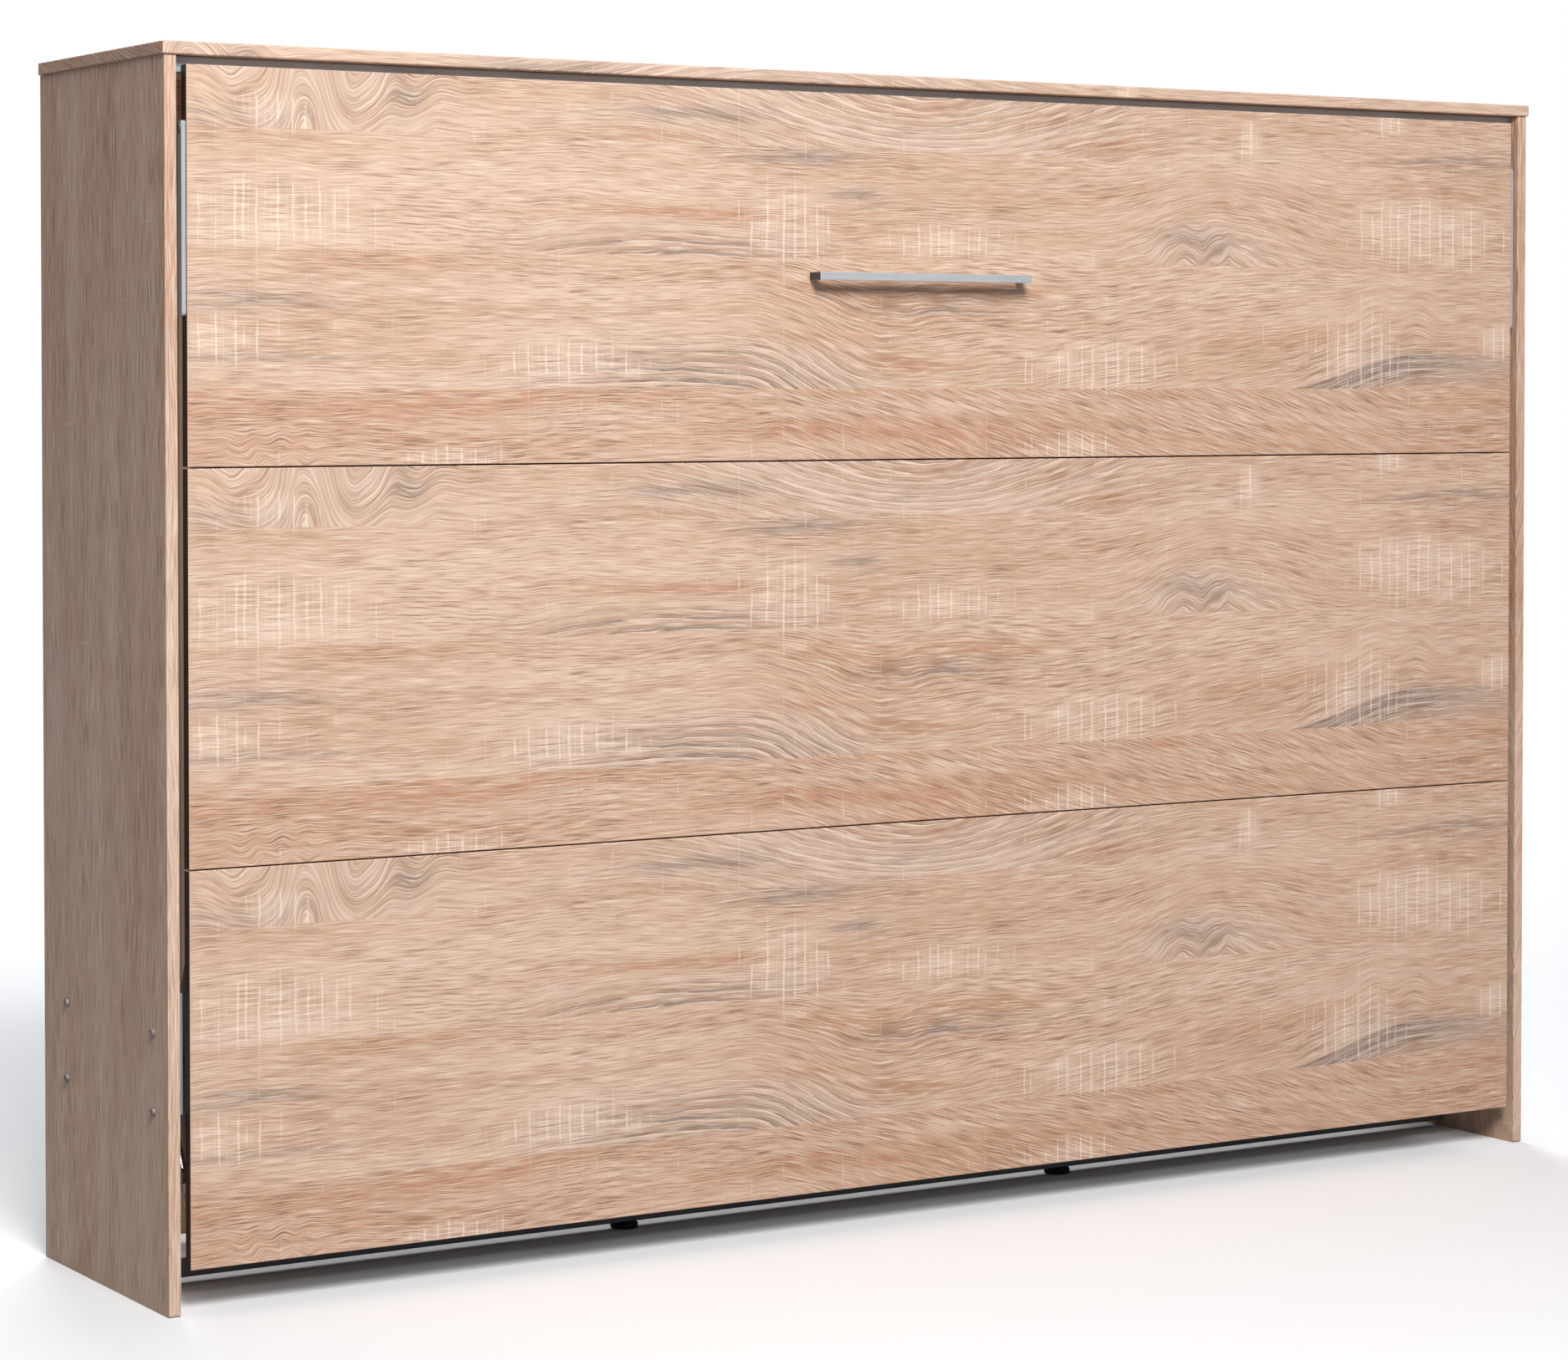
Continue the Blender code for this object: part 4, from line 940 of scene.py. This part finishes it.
def strap_form(path, centre, width, thick):
    """A flat strap of that width along a path in the YZ plane, a little domed and with soft edges."""
    shape = bmesh.new()
    rings = []
    profile = [(-0.5, 0.25), (-0.47, 0.0), (0.47, 0.0), (0.5, 0.25), (0.5, 0.75), (0.47, 1.0), (0.0, 1.08)]
    profile += [(-0.47, 1.0), (-0.5, 0.75)]
    for number, here in enumerate(path):
        ahead = (path[min(number + 1, len(path) - 1)] - path[max(number - 1, 0)]).normalized()
        out = Vector((-ahead[1], ahead[0]))
        rings.append([shape.verts.new((centre + a * width, here[0] + out[0] * b * thick,
                                       here[1] + out[1] * b * thick)) for a, b in profile])
    for one, other in zip(rings, rings[1:]):
        for k in range(len(profile)):
            after = (k + 1) % len(profile)
            shape.faces.new((one[k], one[after], other[after], other[k]))
    shape.faces.new(rings[0])
    shape.faces.new(list(reversed(rings[-1])))
    bmesh.ops.recalc_face_normals(shape, faces=shape.faces)
    return shape


def soft_block(size, place, rounding):
    """A block with rounded edges, centred on a place."""
    shape = bmesh.new()
    bmesh.ops.create_cube(shape, size=1.0)
    shape.transform(Matrix.Translation(place) @ Matrix.Diagonal((*size, 1.0)))
    bmesh.ops.bevel(shape, geom=list(shape.edges), offset=rounding, segments=3, profile=0.5, affect="EDGES")
    bmesh.ops.recalc_face_normals(shape, faces=shape.faces)
    return shape


def joined_mesh(name, *forms):
    """Several closed forms as one mesh."""
    whole = bmesh.new()
    for form in forms:
        part = bpy.data.meshes.new("part")
        form.to_mesh(part)
        form.free()
        whole.from_mesh(part)
        bpy.data.meshes.remove(part)
    return smooth_mesh(whole, name)


STRAP_THICK = 0.0018
BUCKLE_WIDTH = 0.052
BUCKLE_HEIGHT = 0.800
BUCKLE_THICK = 0.0055
ARM_LENGTH = 0.022
STRAP_BAR_HEIGHT = 0.660
SCREW_DROP = 0.012
ledge_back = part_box("mattress_ledge")[1].y
for side in ("left", "right"):
    low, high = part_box(f"mattress_strap_{side}")
    width, centre = high.x - low.x, (high.x + low.x) / 2
    rear, head, foot = high.y - 0.0021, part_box("mattress")[1].z + 0.001, low.z + 0.0002
    corners = [(low.y + 0.0002, high.z), (low.y + 0.0002, head), (rear, head),
               (rear, foot + STRAP_THICK), (ledge_back + 0.0012, foot + STRAP_THICK)]
    path = rounded_path(corners, (0.006, 0.030, 0.016))
    strap = strap_form(list(reversed(path)), centre, width, STRAP_THICK)
    mesh = smooth_mesh(strap, f"strap_{side}", 50)
    add_piece(f"bedding_strap_{side}", mesh, webbing, "bed", "webbing", f"mattress_strap_{side}")

    # The buckle: a socket, the two sprung arms and the tongue that slide into it, and a bar for the strap.
    face = rear + STRAP_THICK * 1.1 + BUCKLE_THICK / 2
    socket = (BUCKLE_WIDTH, BUCKLE_THICK, 0.030)
    parts = [soft_block(socket, (centre, face, BUCKLE_HEIGHT - 0.013), 0.0024)]
    for reach, size in ((-0.0215, 0.0080), (0.0, 0.0120), (0.0215, 0.0080)):
        arm = (size, BUCKLE_THICK * 0.7, ARM_LENGTH)
        parts.append(soft_block(arm, (centre + reach, face, BUCKLE_HEIGHT + 0.0085), 0.0018))
    yoke = (BUCKLE_WIDTH, BUCKLE_THICK * 0.8, 0.009)
    parts.append(soft_block(yoke, (centre, face, BUCKLE_HEIGHT + 0.0215), 0.0020))
    bar = (BUCKLE_WIDTH - 0.006, 0.0034, 0.010)
    parts.append(soft_block(bar, (centre, face - 0.0004, STRAP_BAR_HEIGHT), 0.0015))
    mesh = joined_mesh(f"buckle_{side}", *parts)
    add_piece(f"strap_buckle_{side}", mesh, buckle_plastic, "bed", "black_plastic")

    # The screw, through the strap's upper end into the top tube.
    screw = socket_head(0.0060, 0.0022, 0.0020, 0.0016)
    seat = Matrix.Translation((centre, low.y + 0.0022, high.z - SCREW_DROP))
    screw.transform(seat @ Matrix.Rotation(-math.pi / 2, 4, "X"))
    mesh = smooth_mesh(screw, f"strap_screw_{side}")
    add_piece(f"strap_screw_{side}", mesh, zinc, "bed", "zinc_steel")


# ---- gas struts -------------------------------------------------------------------------------------
# One strut on each side: a black-lacquered pressure tube hung from the bracket, and a ground, hard-chromed
# rod whose eye sits on the stud of the hinge arm.

def lacquered_tube(name):
    """Thin black lacquer on a drawn tube, with faint lines round it and dust-fine specks."""
    material, shader, spots = finish(name, 0.32, constants=[("Coat Weight", 0.3), ("Coat Roughness", 0.2)])
    cloud = spots.noise((30.0, 30.0, 12.0), 3.0)
    specks = spots.noise((1200.0, 1200.0, 1200.0), 1.0)
    tone = (cloud * 0.5 + specks * 0.5).rise(0.42, 0.7)
    feed(shader, "Base Color", tone.paint(linear(16, 16, 17), linear(42, 43, 45)))
    feed(shader, "Roughness", cloud.rise(0.3, 0.7, 0.26, 0.42))
    raise_grain(shader, specks, 0.0001, 0.3)
    return material


dress(lacquered_tube("strut_lacquer"), "gas_cylinder_left", "gas_cylinder_right")
dress(drawn_silver("chromed_rod", linear(205, 207, 210), "z", 0.16, 1.0), "gas_rod_left", "gas_rod_right")
